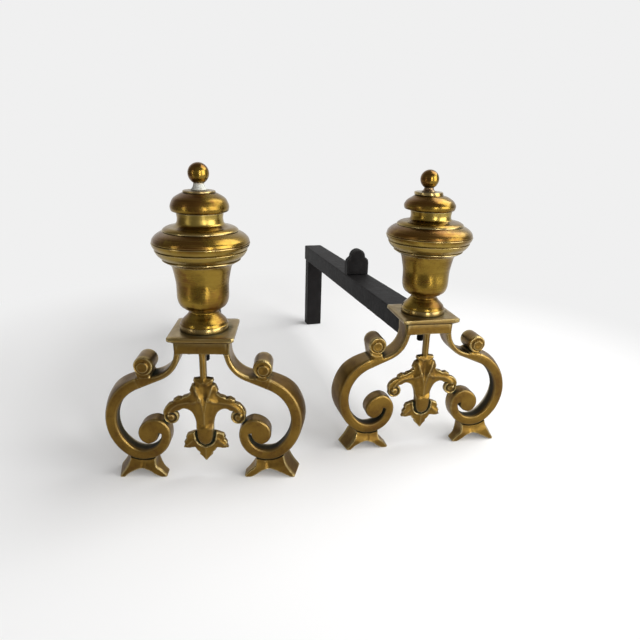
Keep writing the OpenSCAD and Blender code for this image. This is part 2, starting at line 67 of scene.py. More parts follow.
CURL_Z = {"left": 73.4, "right": 75.5}
BAR_L, BAR_W, BAR_W_END, BAR_H, BAR_FRONT = 490.0, 42.0, 34.0, 28.5, 11.0
TONGUE_W, TONGUE_L, TONGUE_T, REAR_W, REAR_T = 36.0, 19.5, 12.5, 30.0, 22.0
STOP_Y, STOP_W, STOP_T, STOP_H, KNOB_R = 236.0, 37.0, 14.0, 27.0, 12.0
ROD_R = ROD_D / 2
BORE_R = ROD_R + 0.3

APRON_TOP = LEG_H + APRON_H
PLATE_TOP = APRON_TOP + PLATE_T
FOOT_TOP = PLATE_TOP + FOOT_H
BOWL_TOP = FOOT_TOP + BOWL_H
BELLY_TOP = BOWL_TOP + BELLY_H
LID_TOP = {side: BELLY_TOP + LID_H[side] for side in LID_H}
DOME_TOP = {side: LID_TOP[side] + DOME_H[side] for side in LID_H}
CAP_TOP = {side: DOME_TOP[side] + CAP_T[side] for side in LID_H}
TONGUE_LOW = APRON_TOP - TONGUE_T
NUT_TOP = TONGUE_LOW - WASHER_T
BAR_LOW = APRON_TOP - BAR_H


def toward(a):
    return np.array([cos(radians(a)), sin(radians(a))])


# Where the lower turn starts and where the strap ends, in degrees round the scroll's middle. Then the volute
# head's place beside the volute's own middle, and the roll's place past the strap's end and above it.
TURN_AT, LAP_AT = -48.0, 72.0
HEAD_OFF, ROLL_PAST, ROLL_UP = 5.0, 2.9, 14.4
C1 = np.array([SCROLL_X, SCROLL_Z])
C2 = C1 + (SCROLL_R - TURN_R) * toward(TURN_AT)
C3 = C2 - [TURN_R - VOLUTE_R, 0]
HEAD_C = C3 + [HEAD_OFF, 0.0]
LAP_IN = C1 + (SCROLL_R - BAND_W / 2) * toward(LAP_AT)
LAP_OUT = C1 + (SCROLL_R + BAND_W / 2) * toward(LAP_AT)
STRAP_C, STRAP_R = np.array([APRON_W / 2 + 32, LEG_H + 2]), 33.8
ROLL_C = LAP_OUT + [ROLL_PAST - ROLL_R, ROLL_UP]
ROLL_SHIFT = {"left_outer": (0, -0.6), "left_inner": (1.8, -2.8),
              "right_inner": (0, 1.8), "right_outer": (2.2, -2.2)}

REACH = SCROLL_X + SCROLL_R + BAND_W / 2 + FLANK
FRAME_X = (PAIR_GAP + REACH * cos(radians(RIGHT_TURN)) + 2.5 * sin(radians(RIGHT_TURN)) - REACH) / 2
BAR_YAW = radians(RIGHT_TURN + BAR_TURN["right"])
FRAME_Y = (PAIR_SET_BACK + BAR_L * cos(BAR_YAW) + BAR_W_END / 2 * sin(BAR_YAW) - BELLY_R) / 2

TO_METRES = Matrix.Scale(0.001, 4)
PLACE = {
    "left": TO_METRES @ Matrix.Translation((-FRAME_X, -FRAME_Y, 0)),
    "right": TO_METRES @ Matrix.Translation((PAIR_GAP - FRAME_X, PAIR_SET_BACK - FRAME_Y, 0))
    @ Matrix.Rotation(radians(RIGHT_TURN), 4, "Z"),
}
MIRROR = Matrix.Scale(-1, 4, (1, 0, 0))


# ---- curves in a flat drawing ----
def arc(c, r, a, b, n):
    return [tuple(np.array(c) + r * toward(a + (b - a) * i / n)) for i in range(n + 1)]


def bend(p, m):
    """A smooth curve through a few points, m steps between two of them."""
    p = [np.array(q, float) for q in p]
    out = []
    for i in range(len(p) - 1):
        a, b, c, d = p[max(i - 1, 0)], p[i], p[i + 1], p[min(i + 2, len(p) - 1)]
        for j in range(m):
            t = j / m
            out.append(tuple(0.5 * (2 * b + (c - a) * t + (2 * a - 5 * b + 4 * c - d) * t * t
                                    + (3 * b - a - 3 * c + d) * t ** 3)))
    return out + [tuple(p[-1])]


def both_sides(right):
    """A loop from its right half, and the mirrored half after it."""
    return right + [(-x, z) for x, z in reversed(right) if abs(x) > 1e-6]


def evenly(loop, step):
    """The closed loop again, with points no further apart than step, and its corners kept."""
    out = []
    for (x0, z0), (x1, z1) in zip(loop, loop[1:] + loop[:1]):
        n = max(1, int(round(hypot(x1 - x0, z1 - z0) / step)))
        out += [(x0 + (x1 - x0) * i / n, z0 + (z1 - z0) * i / n) for i in range(n)]
    return [p for p, q in zip(out, out[1:] + out[:1]) if hypot(p[0] - q[0], p[1] - q[1]) > step * 0.3]


def stroke_distance(points, path):
    """How far each point lies from an open path."""
    a = np.array(path, float)
    best = np.full(len(points), 1e9)
    for p, q in zip(a[:-1], a[1:]):
        pq = q - p
        t = np.clip(((points - p) @ pq) / max(pq @ pq, 1e-12), 0, 1)
        best = np.minimum(best, np.hypot(*(points - p - t[:, None] * pq).T))
    return best


def edge_distance(points, loop):
    """How far each point lies from a closed loop."""
    return stroke_distance(points, [*loop, loop[0]])


def away_from(loop):
    """The direction square to a closed loop at each of its points, to the right of the way round."""
    along = np.roll(loop, -1, 0) - np.roll(loop, 1, 0)
    side = np.stack([along[:, 1], -along[:, 0]], 1)
    return side / np.maximum(np.linalg.norm(side, axis=1), 1e-9)[:, None]


def from_spot(points, spot):
    return np.hypot(*(points - spot).T)


def bearing(points, spot):
    """Each point's direction from a spot, from 0 to 360 degrees."""
    across, up = (points - spot).T
    return np.degrees(np.arctan2(up, across)) % 360


def hump(d, wide):
    """1 where d is 0, and falling away on both sides of it."""
    return np.exp(-(d / wide) ** 2)


def inside(points, loop):
    a = np.array(loop)
    b = np.roll(a, -1, 0)
    x, z = points.T
    hit = np.zeros(len(points), bool)
    for (x0, z0), (x1, z1) in zip(a, b):
        hit ^= ((z0 > z) != (z1 > z)) & (x < (x1 - x0) * (z - z0) / (z1 - z0 + 1e-15) + x0)
    return hit


def smooth(u):
    u = np.clip(u, 0, 1)
    return u * u * (3 - 2 * u)


# ---- meshes ----
def in_scene(name, data):
    thing = bpy.data.objects.new(name, data)
    bpy.context.scene.collection.objects.link(thing)
    return thing


def mesh_of(verts, faces):
    mesh = bpy.data.meshes.new("casting")
    mesh.from_pydata([tuple(v) for v in verts], [], [tuple(int(i) for i in f) for f in faces])
    return mesh


def read(layer, name, count, kind=np.float32):
    out = np.empty(count, dtype=kind)
    layer.foreach_get(name, out)
    return out


def points_of(mesh, what="co"):
    return read(mesh.vertices, what, len(mesh.vertices) * 3).reshape(-1, 3)


def mark(mesh, name, values):
    layer = mesh.attributes.get(name) or mesh.attributes.new(name, "FLOAT", "POINT")
    layer.data.foreach_set("value", np.asarray(values, dtype=np.float32))


def at_height(loop, z):
    return [(x, y, z) for x, y in loop]


def closed_mesh(verts, faces):
    """A mesh from points and faces, doubles merged and faces turned outwards."""
    return outward(mesh_of(verts, faces))


def outward(mesh, gap=0.0005):
    work = bmesh.new()
    work.from_mesh(mesh)
    bmesh.ops.remove_doubles(work, verts=work.verts, dist=gap)
    bmesh.ops.dissolve_degenerate(work, edges=work.edges, dist=gap)
    bmesh.ops.recalc_face_normals(work, faces=work.faces)
    if work.calc_volume(signed=True) < 0:
        bmesh.ops.reverse_faces(work, faces=work.faces)
    work.to_mesh(mesh)
    work.free()
    return mesh


def loft(rings, cap=True):
    """Faces between closed rings of the same count, with a face at each end."""
    n = len(rings[0])
    verts = [p for ring in rings for p in ring]
    faces = [(k * n + j, k * n + (j + 1) % n, (k + 1) * n + (j + 1) % n, (k + 1) * n + j)
             for k in range(len(rings) - 1) for j in range(n)]
    if cap:
        faces += [tuple(range(n)), tuple(range((len(rings) - 1) * n, len(rings) * n))]
    return verts, faces


def filled(points, count):
    """Faces inside a loop of the first count points, and where each point went."""
    got = delaunay_2d_cdt([Vector(p) for p in points], [], [list(range(count))], 1, 1e-4)
    home = {old: new for new, olds in enumerate(got[3]) for old in olds}
    return np.array([tuple(v) for v in got[0]]), got[2], home


def relief(loop, back, front, step=0.9, back_round=0.8, lean=None, edges=None):
    """A casting with a modelled front: an outline in X and Z, a flat back, and front(points, distance from
    the edge) as the depth ahead of the plinth's middle. lean(points) moves the outline's back sideways.
    edges: the open paths that have an edge, where part of the outline lies flush against a neighbour."""
    loop = evenly(loop, step)
    rim = np.array(loop)
    lo, hi = rim.min(0), rim.max(0)
    xs = np.arange(lo[0], hi[0], step)
    zs = np.arange(lo[1], hi[1], step * 0.87)
    grid = np.array([(x + (step / 2 if i % 2 else 0), z) for i, z in enumerate(zs) for x in xs])
    grid = grid[inside(grid, loop)]
    grid = grid[edge_distance(grid, loop) > step * 0.55]
    points, faces, home = filled(np.vstack([rim, grid]), len(rim))
    if edges:
        away = np.min([stroke_distance(points, path) for path in edges], axis=0)
    else:
        away = edge_distance(points, loop)
    depth = front(points, away)
    verts = [(p[0], -d, p[1]) for p, d in zip(points, depth)]
    last = [home[k] for k in range(len(rim))]
    nxt = np.roll(rim, -1, 0)
    area = np.sum(rim[:, 0] * nxt[:, 1] - nxt[:, 0] * rim[:, 1])
    side = away_from(rim) if area > 0 else -away_from(rim)
    shift = lean(rim) if lean else np.zeros_like(rim)
    near = depth[last]
    far = back(rim) if callable(back) else np.full(len(rim), back)
    walls = [(near * (1 - u) + (far + back_round) * u, shift * u, 0.0) for u in (0.2, 0.5, 0.8, 1.0)]
    walls.append((far, shift, back_round))
    for deep, move, inset in walls:
        ring = rim + move - side * inset
        start = len(verts)
        verts += [(p[0], -d, p[1]) for p, d in zip(ring, deep)]
        this = list(range(start, start + len(ring)))
        faces += [(last[k - 1], last[k], this[k], this[k - 1]) for k in range(len(ring))]
        last = this
    _, under, home = filled(ring, len(ring))
    link = {new: last[old] for old, new in home.items()}
    faces += [tuple(link[i] for i in f) for f in under if all(i in link for i in f)]
    mesh = closed_mesh(verts, faces)
    if edges:
        flat = points_of(mesh)[:, [0, 2]].astype(float)
        clear = np.min([stroke_distance(flat, path) for path in edges], axis=0)
        mark(mesh, "flush", (edge_distance(flat, loop) < 0.9) & (clear > 1.0))
    return mesh


def rounding(d, fillet):
    """How far a front drops near its edge."""
    return fillet - np.sqrt(np.maximum(fillet ** 2 - (fillet - np.clip(d, 0, fillet)) ** 2, 0))


# ---- node trees ----
class Wire:
    """One output of a node. Arithmetic on it adds Math nodes."""

    def __init__(self, owner, socket):
        self.owner, self.socket = owner, socket

    def __add__(self, o): return self.owner.maths("ADD", self, o)
    __radd__ = __add__
    def __sub__(self, o): return self.owner.maths("SUBTRACT", self, o)
    def __rsub__(self, o): return self.owner.maths("SUBTRACT", o, self)
    def __mul__(self, o): return self.owner.maths("MULTIPLY", self, o)
    __rmul__ = __mul__
    def __truediv__(self, o): return self.owner.maths("DIVIDE", self, o)
    def __rtruediv__(self, o): return self.owner.maths("DIVIDE", o, self)

    def between(self, low, high):
        """0 below low, 1 above high, and smooth between them."""
        return self.owner.node("ShaderNodeMapRange", {"interpolation_type": "SMOOTHSTEP"},
                               {"Value": self, "From Min": low, "From Max": high})


class Tree:
    """A node tree, for a casting's shape, a metal's look or the light from all round."""

    def __init__(self, tree):
        self.tree = tree

    def node(self, kind, settings=None, inputs=None, out=0):
        """A new node: its settings first, then the values and links of its sockets. Returns one output."""
        made = self.tree.nodes.new(kind)
        for key, value in (settings or {}).items():
            setattr(made, key, value)
        for key, value in (inputs or {}).items():
            if isinstance(value, Wire):
                self.tree.links.new(value.socket, made.inputs[key])
            else:
                made.inputs[key].default_value = value
        return Wire(self, made.outputs[out]) if made.outputs else None

    def maths(self, operation, *values):
        return self.node("ShaderNodeMath", {"operation": operation}, dict(enumerate(values)))

    def axes(self, vector):
        """A vector's three parts."""
        split = self.node("ShaderNodeSeparateXYZ", {}, {0: vector}).socket.node
        return [Wire(self, socket) for socket in split.outputs]

    def vector(self, *parts):
        return self.node("ShaderNodeCombineXYZ", {}, dict(enumerate(parts)))

    def rays(self, *kinds):
        """1 for rays of these kinds, such as Camera, and 0 for others."""
        return sum(self.node("ShaderNodeLightPath", out=f"Is {kind} Ray") for kind in kinds)


# ---- turned pieces, by a node tree that spins a profile about the tie rod ----
def turning_tree():
    group = bpy.data.node_groups.new("turned_casting", "GeometryNodeTree")
    face = group.interface
    face.new_socket("Profile", in_out="INPUT", socket_type="NodeSocketGeometry")
    for title, kind, value in (("Profile points", "Int", 3), ("Facets round", "Int", 144),
                               ("Unevenness", "Float", 0.0002), ("Seed", "Float", 1.0),
                               ("Finish", "Material", None)):
        socket = face.new_socket(title, in_out="INPUT", socket_type="NodeSocket" + kind)
        if value is not None:
            socket.default_value = value
    face.new_socket("Casting", in_out="OUTPUT", socket_type="NodeSocketGeometry")
    t = Tree(group)
    given = {socket.name: Wire(t, socket) for socket in group.nodes.new("NodeGroupInput").outputs}
    facets, around = given["Facets round"], given["Facets round"] + 1

    sheet = t.node("GeometryNodeMeshGrid", {}, out="Mesh",
                   inputs={"Vertices X": given["Profile points"] + 1, "Vertices Y": around})
    index = t.node("GeometryNodeInputIndex")
    row = t.maths("FLOOR", (index + 0.5) / around)
    turn = index - row * around
    before_seam = t.node("FunctionNodeCompare", {"data_type": "FLOAT", "operation": "LESS_THAN"},
                         {"A": turn, "B": facets})
    angle = turn / facets * (2 * pi) * before_seam
    c, s = t.maths("COSINE", angle), t.maths("SINE", angle)
    sample = t.node("GeometryNodeSampleIndex", {"data_type": "FLOAT_VECTOR", "domain": "POINT"},
                    {"Geometry": given["Profile"], "Value": t.node("GeometryNodeInputPosition"),
                     "Index": t.maths("MODULO", row, given["Profile points"])})
    radius, _, high = t.axes(sample)
    wave = t.node("ShaderNodeTexNoise", {"noise_dimensions": "4D"},
                  {"Vector": t.vector(c, s, high * WAVE_RISE), "W": given["Seed"],
                   "Scale": 1.4, "Detail": 2.0})
    radius = radius * (1 - wave * given["Unevenness"] / WAVE_RADIUS)
    spun = t.node("GeometryNodeSetPosition", {},
                  {"Geometry": sheet, "Position": t.vector(radius * c, radius * s, high)})
    sewn = t.node("GeometryNodeMergeByDistance", {}, {"Geometry": spun, "Distance": 2e-6})
    whole = t.node("GeometryNodeRealizeInstances", {}, {"Geometry": sewn})
    done = t.node("GeometryNodeSetMaterial", {}, {"Geometry": whole, "Material": given["Finish"]})
    t.node("NodeGroupOutput", {}, {0: done})
    return group


# The full unevenness is at WAVE_RADIUS metres from the axis, and it changes WAVE_RISE times a metre up it.
WAVE_RADIUS, WAVE_RISE = 0.03, 60
TURNING = turning_tree()


def turned(profile, seed, uneven=0.2, facets=144, slot="urn_brass"):
    """Spins a closed profile of (radius, height), in millimetres, into a closed casting in millimetres."""
    loop = [p for p, q in zip(profile, profile[1:] + profile[:1]) if hypot(p[0] - q[0], p[1] - q[1]) > 0.02]
    line = mesh_of([(r / 1000, 0, z / 1000) for r, z in loop], [])
    holder = in_scene("profile", line)
    spin = holder.modifiers.new("turning", "NODES")
    spin.node_group = TURNING
    given = {"Profile points": len(loop), "Facets round": facets, "Unevenness": uneven / 1000,
             "Seed": float(seed), "Finish": FINISH[slot]}
    for item in TURNING.interface.items_tree:
        if item.item_type == "SOCKET" and item.name in given:
            spin[item.identifier] = given[item.name]
    view = bpy.context.evaluated_depsgraph_get()
    mesh = bpy.data.meshes.new_from_object(holder.evaluated_get(view))
    holder.modifiers.remove(spin)
    bpy.data.objects.remove(holder)
    mesh.transform(Matrix.Scale(1000, 4))
    return outward(mesh)


# ---- finishes ----
class Finish(Tree):
    """A metal's look."""

    def __init__(self, name):
        self.material = bpy.data.materials.new(name)
        self.material.use_nodes = True
        super().__init__(self.material.node_tree)
        self.shader = self.tree.nodes["Principled BSDF"]
        self.at = self.node("ShaderNodeTexCoord", out="Object")

    def set(self, **sockets):
        for key, value in sockets.items():
            socket = self.shader.inputs[key.replace("_", " ")]
            if isinstance(value, Wire):
                self.tree.links.new(value.socket, socket)
            else:
                socket.default_value = value
        return self.material

    def mask(self, name):
        """A number that the piece's mesh carries, such as how worn a place is."""
        return self.node("ShaderNodeAttribute", {"attribute_name": name}, out="Fac")

    def cloud(self, scale, detail, rough, seed=0.0, at=None):
        return self.node("ShaderNodeTexNoise", {"noise_dimensions": "4D"},
                         {"Vector": at or self.at, "W": seed, "Scale": scale, "Detail": detail,
                          "Roughness": rough})

    def cells(self, scale, feature="F1"):
        return self.node("ShaderNodeTexVoronoi", {"feature": feature}, {"Vector": self.at, "Scale": scale})

    def blend(self, amount, a, b):
        """Colour a where amount is 0, colour b where it is 1."""
        a, b = (c if isinstance(c, Wire) else (*c, 1) for c in (a, b))
        return self.node("ShaderNodeMix", {"data_type": "RGBA"}, {0: amount, 6: a, 7: b}, out=2)

    def layers(self, colour, coats):
        """Lays coats of (amount, colour) one over another."""
        for amount, coat in coats:
            colour = self.blend(amount, colour, coat)
        return colour

    def bump(self, height, strength, distance):
        return self.node("ShaderNodeBump", {},
                         {"Height": height, "Strength": strength, "Distance": distance})


def urn_brass():
    """Old unlacquered brass that hands and cloths have kept bright, with brown patches and pits. Painted
    shade draws brown patches onto the ball away from its highlight and onto the upper left of the dome and
    belly ring, and a painted sheen lightens the lid's neck and the belly ring's lower part.
    """
    f = Finish("urn_brass")
    worn, hollow, residue, tarnish_and_painted_shade, rubbed_and_painted_sheen = map(f.mask, ("worn", "hollow", "residue", "tarnish_and_painted_shade", "rubbed_and_painted_sheen"))
    broad, small, specks = f.cloud(26, 4, 0.6, 1.3), f.cloud(160, 5, 0.62, 4.1), f.cloud(900, 3, 0.6, 2.2)
    lathe = f.node("ShaderNodeMapping", {}, {"Vector": f.at, "Scale": (18, 18, 1500)})
    rings = f.cloud(1, 3, 0.5, at=lathe)
    pit = (1 - f.cells(210).between(0.04, 0.11)) * f.cloud(60, 1, 0.5, 7.7).between(0.56, 0.64)
    dirt = (hollow * 1.5 + small * 0.5 - 0.35).between(0.22, 0.8)
    colour = f.layers((0.25, 0.158, 0.026), (
        (broad.between(0.34, 0.66), (0.150, 0.084, 0.012)),
        # brown patches at random, drawn on further by painted shade on the ball, dome and belly ring
        ((small * 0.5 + broad * 0.5 + tarnish_and_painted_shade * 0.25).between(0.48, 0.64) * 0.8, (0.115, 0.046, 0.012)),
        (rings.between(0.4, 0.75) * 0.3, (0.34, 0.240, 0.05)),
        # painted sheen, partly rub wear: lighter brass on the lid's neck and the belly ring's lower part
        (rubbed_and_painted_sheen * (0.3 + 0.6 * small), (0.42, 0.315, 0.08)),
        (specks.between(0.62, 0.76) * 0.4, (0.07, 0.042, 0.010)),
        (worn.between(0.05, 0.45) * (0.4 + 0.6 * small), (0.55, 0.44, 0.22)),
        (dirt * 0.9, (0.030, 0.026, 0.010)),
        (pit * 0.85, (0.03, 0.024, 0.010)),
        (residue * (0.4 + 0.6 * small.between(0.3, 0.6)), (0.46, 0.47, 0.43))))
    rough = 0.16 + 0.15 * broad.between(0.35, 0.7) + 0.22 * dirt + 0.08 * rings + 0.35 * residue
    height = rings * 0.10 + small * 0.55 + specks * 0.14 - pit * 0.9
    return f.set(Base_Color=colour, Metallic=1 - 0.85 * residue, Roughness=rough,
                 Normal=f.bump(height, 0.32, 0.0006))


def leg_brass():
    """The leg castings' duller brass, brown and green in the hollows and worn bright along the ridges, with
    painted shade that colours the scroll's inner walls near black.
    """
    f = Finish("leg_brass")
    worn, hollow, inner = map(f.mask, ("worn", "hollow", "shaded"))
    broad, small, specks = f.cloud(30, 4, 0.6, 3.3), f.cloud(190, 5, 0.62, 6.1), f.cloud(1100, 3, 0.6, 8.2)
    pit = (1 - f.cells(260).between(0.05, 0.16)) * f.cloud(75, 1, 0.5, 9.4).between(0.5, 0.6)
    dirt = (hollow * 1.7 + small * 0.6 - 0.4).between(0.2, 0.75)
    green = f.cloud(420, 3, 0.6, 5.5).between(0.42, 0.62)
    colour = f.layers((0.186, 0.108, 0.021), (
        (broad.between(0.32, 0.66), (0.122, 0.067, 0.014)),
        ((small * 0.55 + broad * 0.45).between(0.5, 0.64) * 0.6, (0.088, 0.042, 0.013)),
        (specks.between(0.58, 0.72) * 0.5, (0.05, 0.032, 0.012)),
        # painted shade: the scroll's inner walls are coloured near black; their roughness and metal change
        # further down too
        (inner * (0.75 + 0.25 * small), (0.012, 0.014, 0.008)),
        (worn.between(0.04, 0.4) * (0.35 + 0.6 * small), (0.46, 0.36, 0.16)),
        (dirt * 0.95, f.blend(green, (0.026, 0.024, 0.013), (0.045, 0.062, 0.036))),
        (pit * 0.8, (0.028, 0.025, 0.012))))
    rough = 0.33 + 0.2 * broad.between(0.35, 0.7) + 0.28 * dirt + 0.3 * inner
    rough = rough - 0.1 * worn.between(0.04, 0.4)
    height = small * 0.7 + specks * 0.25 - pit * 0.9
    return f.set(Base_Color=colour, Metallic=1 - 0.5 * dirt - 0.3 * inner, Roughness=rough,
                 Specular_IOR_Level=0.2, Normal=f.bump(height, 0.42, 0.0007))


def black_iron():
    """Fire-blackened iron, greyer along its edges."""
    f = Finish("black_iron")
    worn, hollow = map(f.mask, ("worn", "hollow"))
    broad, small = f.cloud(22, 4, 0.6, 2.9), f.cloud(240, 5, 0.65, 4.9)
    colour = f.layers((0.006, 0.005, 0.005), (
        (broad.between(0.35, 0.65), (0.011, 0.010, 0.010)),
        (small.between(0.55, 0.72) * 0.5, (0.030, 0.020, 0.015)),
        (worn.between(0.05, 0.5) * (0.3 + 0.5 * small), (0.050, 0.048, 0.047)),
        (hollow.between(0.35, 0.9) * 0.8, (0.010, 0.010, 0.011))))
    height = small * 0.6 + f.cells(130, "SMOOTH_F1") * 0.5 + broad * 0.4
    return f.set(Base_Color=colour, Metallic=0.6, Roughness=0.50 + 0.25 * small, Specular_IOR_Level=0.3,
                 Normal=f.bump(height, 0.5, 0.0010))


FINISH = {"urn_brass": urn_brass(), "leg_brass": leg_brass(), "iron": black_iron()}
pieces = []
SHARP_AT = radians(38)
# marks every piece carries: wear, dirt and residue, and the painted shade and painted sheen marks
WEAR_AND_PAINTED_LIGHT = ("worn", "hollow", "residue", "shaded", "flush", "tarnish_and_painted_shade", "rubbed_and_painted_sheen")


def lean_over(mesh, side):
    """The right finial and its cap sit askew, as a bent rod holds them."""
    spots = points_of(mesh)
    dome, cap = smooth((spots[:, 2] - LID_TOP[side]) / 2), smooth((spots[:, 2] - DOME_TOP[side] + 2) / 4)
    spots[:, 0] += LEAN[side] * (0.45 * dome + 0.55 * cap)
    mesh.vertices.foreach_set("co", spots.ravel())


def put(mesh, side, node, slot, mirrored=False, turn=0.0):
    """Puts a mesh on one andiron in place of its CAD node."""
    if slot == "urn_brass" or node == "tie_rod":
        lean_over(mesh, side)
    place = PLACE[side] @ Matrix.Rotation(radians(turn), 4, "Z")
    mesh.transform(place @ MIRROR if mirrored else place)
    if mirrored:
        mesh.flip_normals()
    title = side + "_" + node
    mesh.name = title
    piece = in_scene(title + "_piece", mesh)
    mesh.materials.clear()
    mesh.materials.append(FINISH[slot])
    mesh.shade_smooth()
    mesh.set_sharp_from_angle(angle=SHARP_AT)
    for name in WEAR_AND_PAINTED_LIGHT:
        if name not in mesh.attributes:
            mesh.attributes.new(name, "FLOAT", "POINT")
    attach(piece, "root")
    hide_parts(title)
    pieces.append(piece)


LEGS = {"left_outer": True, "left_inner": False, "right_outer": False, "right_inner": True}


def four(make, slot):
    """A leg's piece, drawn for +X on each leg, and mirrored on the legs that point the other way."""
    for place, mirrored in LEGS.items():
        side, end = place.split("_")
        put(make(place), side, make.__name__ + "_" + end, slot, mirrored=mirrored)


# ---- the urn, from the top down ----
def rise(profile, level):
    return [(r, z + level) for r, z in profile]


def finial_ball(side):
    high = BALL_RISE[side]
    collar = high - 10
    neck = degrees(asin(COLLAR_R / BALL_R))
    bore = STUD_D / 2 + 0.3
    shape = [(bore, 0), (7.6, 0), (8.0, 0.25), (8.0, 0.1 * collar)] \
        + bend([(7.9, 0.16 * collar), (7.2, 0.3 * collar), (6.3, 0.5 * collar),
                (COLLAR_R + 0.3, 0.75 * collar), (COLLAR_R, collar)], 5) \
        + arc((0, high), BALL_R, neck - 90, 90, 44) + [(0, 12), (bore, 12)]
    mesh = turned(rise(shape, CAP_TOP[side]), 1, 0.12)
    z = points_of(mesh)[:, 2] - CAP_TOP[side]
    mark(mesh, "residue", RESIDUE[side] * smooth((collar + 1.2 - z) / 1.8) * smooth((z - 0.2) / 0.8))
    ball = points_of(mesh) - [0, 0, CAP_TOP[side] + high]
    ball /= np.linalg.norm(ball, axis=1)[:, None] + 1e-6
    # painted shade: the ball turns brown away from the direction its highlight faces, and stays clean brass
    # round the highlight
    mark(mesh, "tarnish_and_painted_shade", smooth((0.80 - ball @ np.array([0.42, -0.88, -0.22])) / 0.35))
    return mesh


def cap_washer(side):
    low, t = DOME_TOP[side], CAP_T[side]
    shape = [(BORE_R, 0), (CAP_R - 0.5, 0), (CAP_R - 0.1, 0.3), (CAP_R, 0.8), (CAP_R, t - 1.0),
             (CAP_R - 0.3, t - 0.35), (CAP_R - 1.0, t), (12.5, t - 0.15), (BORE_R, t)]
    mesh = turned(rise(shape, low), 2, 0.15)
    x, y, z = points_of(mesh).T
    mark(mesh, "residue", 0.6 * smooth((12.0 - np.hypot(x, y)) / 3) * (z > low + t - 0.5))
    return mesh


def dome_cap(side):
    wall, h = DOME_R - URN_WALL, DOME_H[side]
    outer = bend([(NECK_R + 1, 0.2), (DOME_R - 3.2, 0.9), (DOME_R - 1.6, 1.5), (DOME_R - 0.7, 2.6),
                  (DOME_R, 6), (DOME_R - 1, h / 2), (DOME_R - 4, h - 5), (DOME_R - 10.4, h - 1),
                  (17.6, h)], 7)
    inner = bend([(13, h - 3.3), (wall - 5.5, h - 5.4), (wall - 1, h - 9.6), (wall - 0.6, 5.5),
                  (NECK_R - 0.8, 2.2)], 3)
    shape = outer + [(BORE_R, h), (BORE_R, h - 3.3)] + inner + [(NECK_R - 3, 0), (NECK_R + 0.6, 0)]
    mesh = turned(rise(shape, LID_TOP[side]), 3)
    x, _, z = points_of(mesh).T
    # painted shade: brown patches gather on the dome's upper part, on its left
    mark(mesh, "tarnish_and_painted_shade", 0.75 * smooth((z - LID_TOP[side] - 5) / 6) * smooth((12 - x) / 16))
    return mesh


def urn_lid(side):
    h = LID_H[side]
    outer = [(39.2, 0), (39.7, 0.3), (39.9, 0.9), (39.7, 1.5), (38.9, 2.4)] \
        + bend([(38.4, 2.8), (35.3, 4.4), (29.5, 5.7), (NECK_R + 1.3, h * 0.42), (NECK_R, h - 6),
                (NECK_R + 0.8, h)], 7)
    inner = bend([(NECK_R - 3, h), (NECK_R - URN_WALL, h - 6), (NECK_R - 2.2, h * 0.37), (30, 2.6),
                  (36, 0)], 3)
    mesh = turned(rise(outer + inner, BELLY_TOP), 4, 0.5)
    x, _, z = points_of(mesh).T
    # painted sheen, partly rub wear: the lid's neck, all but its far left, is lighter brass
    mark(mesh, "rubbed_and_painted_sheen", smooth((z - BELLY_TOP - 6.5) / 2) * smooth((x + 20) / 16))
    return mesh


def belly_ring(side):
    outer = bend([(33.6, 0), (37, 1.5), (41.2, 4)], 5) + [(41.7, 4.4), (41.6, 4.8), (40.9, 5.1), (41, 5.5)] \
        + bend([(41.8, 6), (46.2, 10), (48.7, 14.1)], 6) \
        + [(49, 14.6), (48.8, 15), (48.1, 15.3), (48.3, 15.8)] \
        + bend([(49.2, 16.4), (BELLY_R - 0.9, 19.4), (BELLY_R - 0.15, 21.7)], 5) \
        + [(BELLY_R, 22.1), (BELLY_R - 0.15, 22.6), (BELLY_R - 0.9, 22.9), (BELLY_R - 0.8, 23.4)] \
        + bend([(BELLY_R - 0.5, 24), (BELLY_R - 1.8, 27.4), (BELLY_R - 6, 31.4), (40, BELLY_H)], 8)
    inner = bend([(36, BELLY_H), (42, 30.6), (BELLY_R - 5.2, 24), (BELLY_R - 4.6, 19.5), (42.6, 11.4),
                  (33, 4.2), (30, 0)], 3)
    mesh = turned(rise(outer + inner, BOWL_TOP), 5, 0.35, 176)
    x, _, z = points_of(mesh).T
    # painted shade: brown patches gather on the belly ring's upper part, on its left
    mark(mesh, "tarnish_and_painted_shade", 0.6 * smooth((z - BOWL_TOP - 22.5) / 3) * smooth((18 - x) / 18))
    # painted sheen, partly rub wear: the belly ring's lower part, facing down to the pale floor, is lighter
    # brass
    mark(mesh, "rubbed_and_painted_sheen", 0.6 * smooth((BOWL_TOP + 21 - z) / 4))
    return mesh


def urn_bowl(side):
    outer = [(WAIST_R + 1, 0), (WAIST_R + 1.3, 0.5), (WAIST_R + 1.6, 1.2), (20.6, 1.9), (21.2, 2.5),
             (21.3, 3)] \
        + bend([(21.9, 3.4), (24.6, 5), (27, 9.4), (BOWL_R - 0.2, 16), (BOWL_R, 29.5), (BOWL_R + 1.3, 38),
                (BOWL_R + 3.3, BOWL_H - 4), (33.6, BOWL_H)], 7)
    inner = bend([(30, BOWL_H), (BOWL_R - 0.4, BOWL_H - 6), (BOWL_R - URN_WALL, 29),
                  (BOWL_R - URN_WALL - 0.3, 16), (20, 7), (11, 4.4)], 3)
    return turned(rise(outer + inner + [(BORE_R, 4.4), (BORE_R, 0)], FOOT_TOP), 6, 0.3, 160)


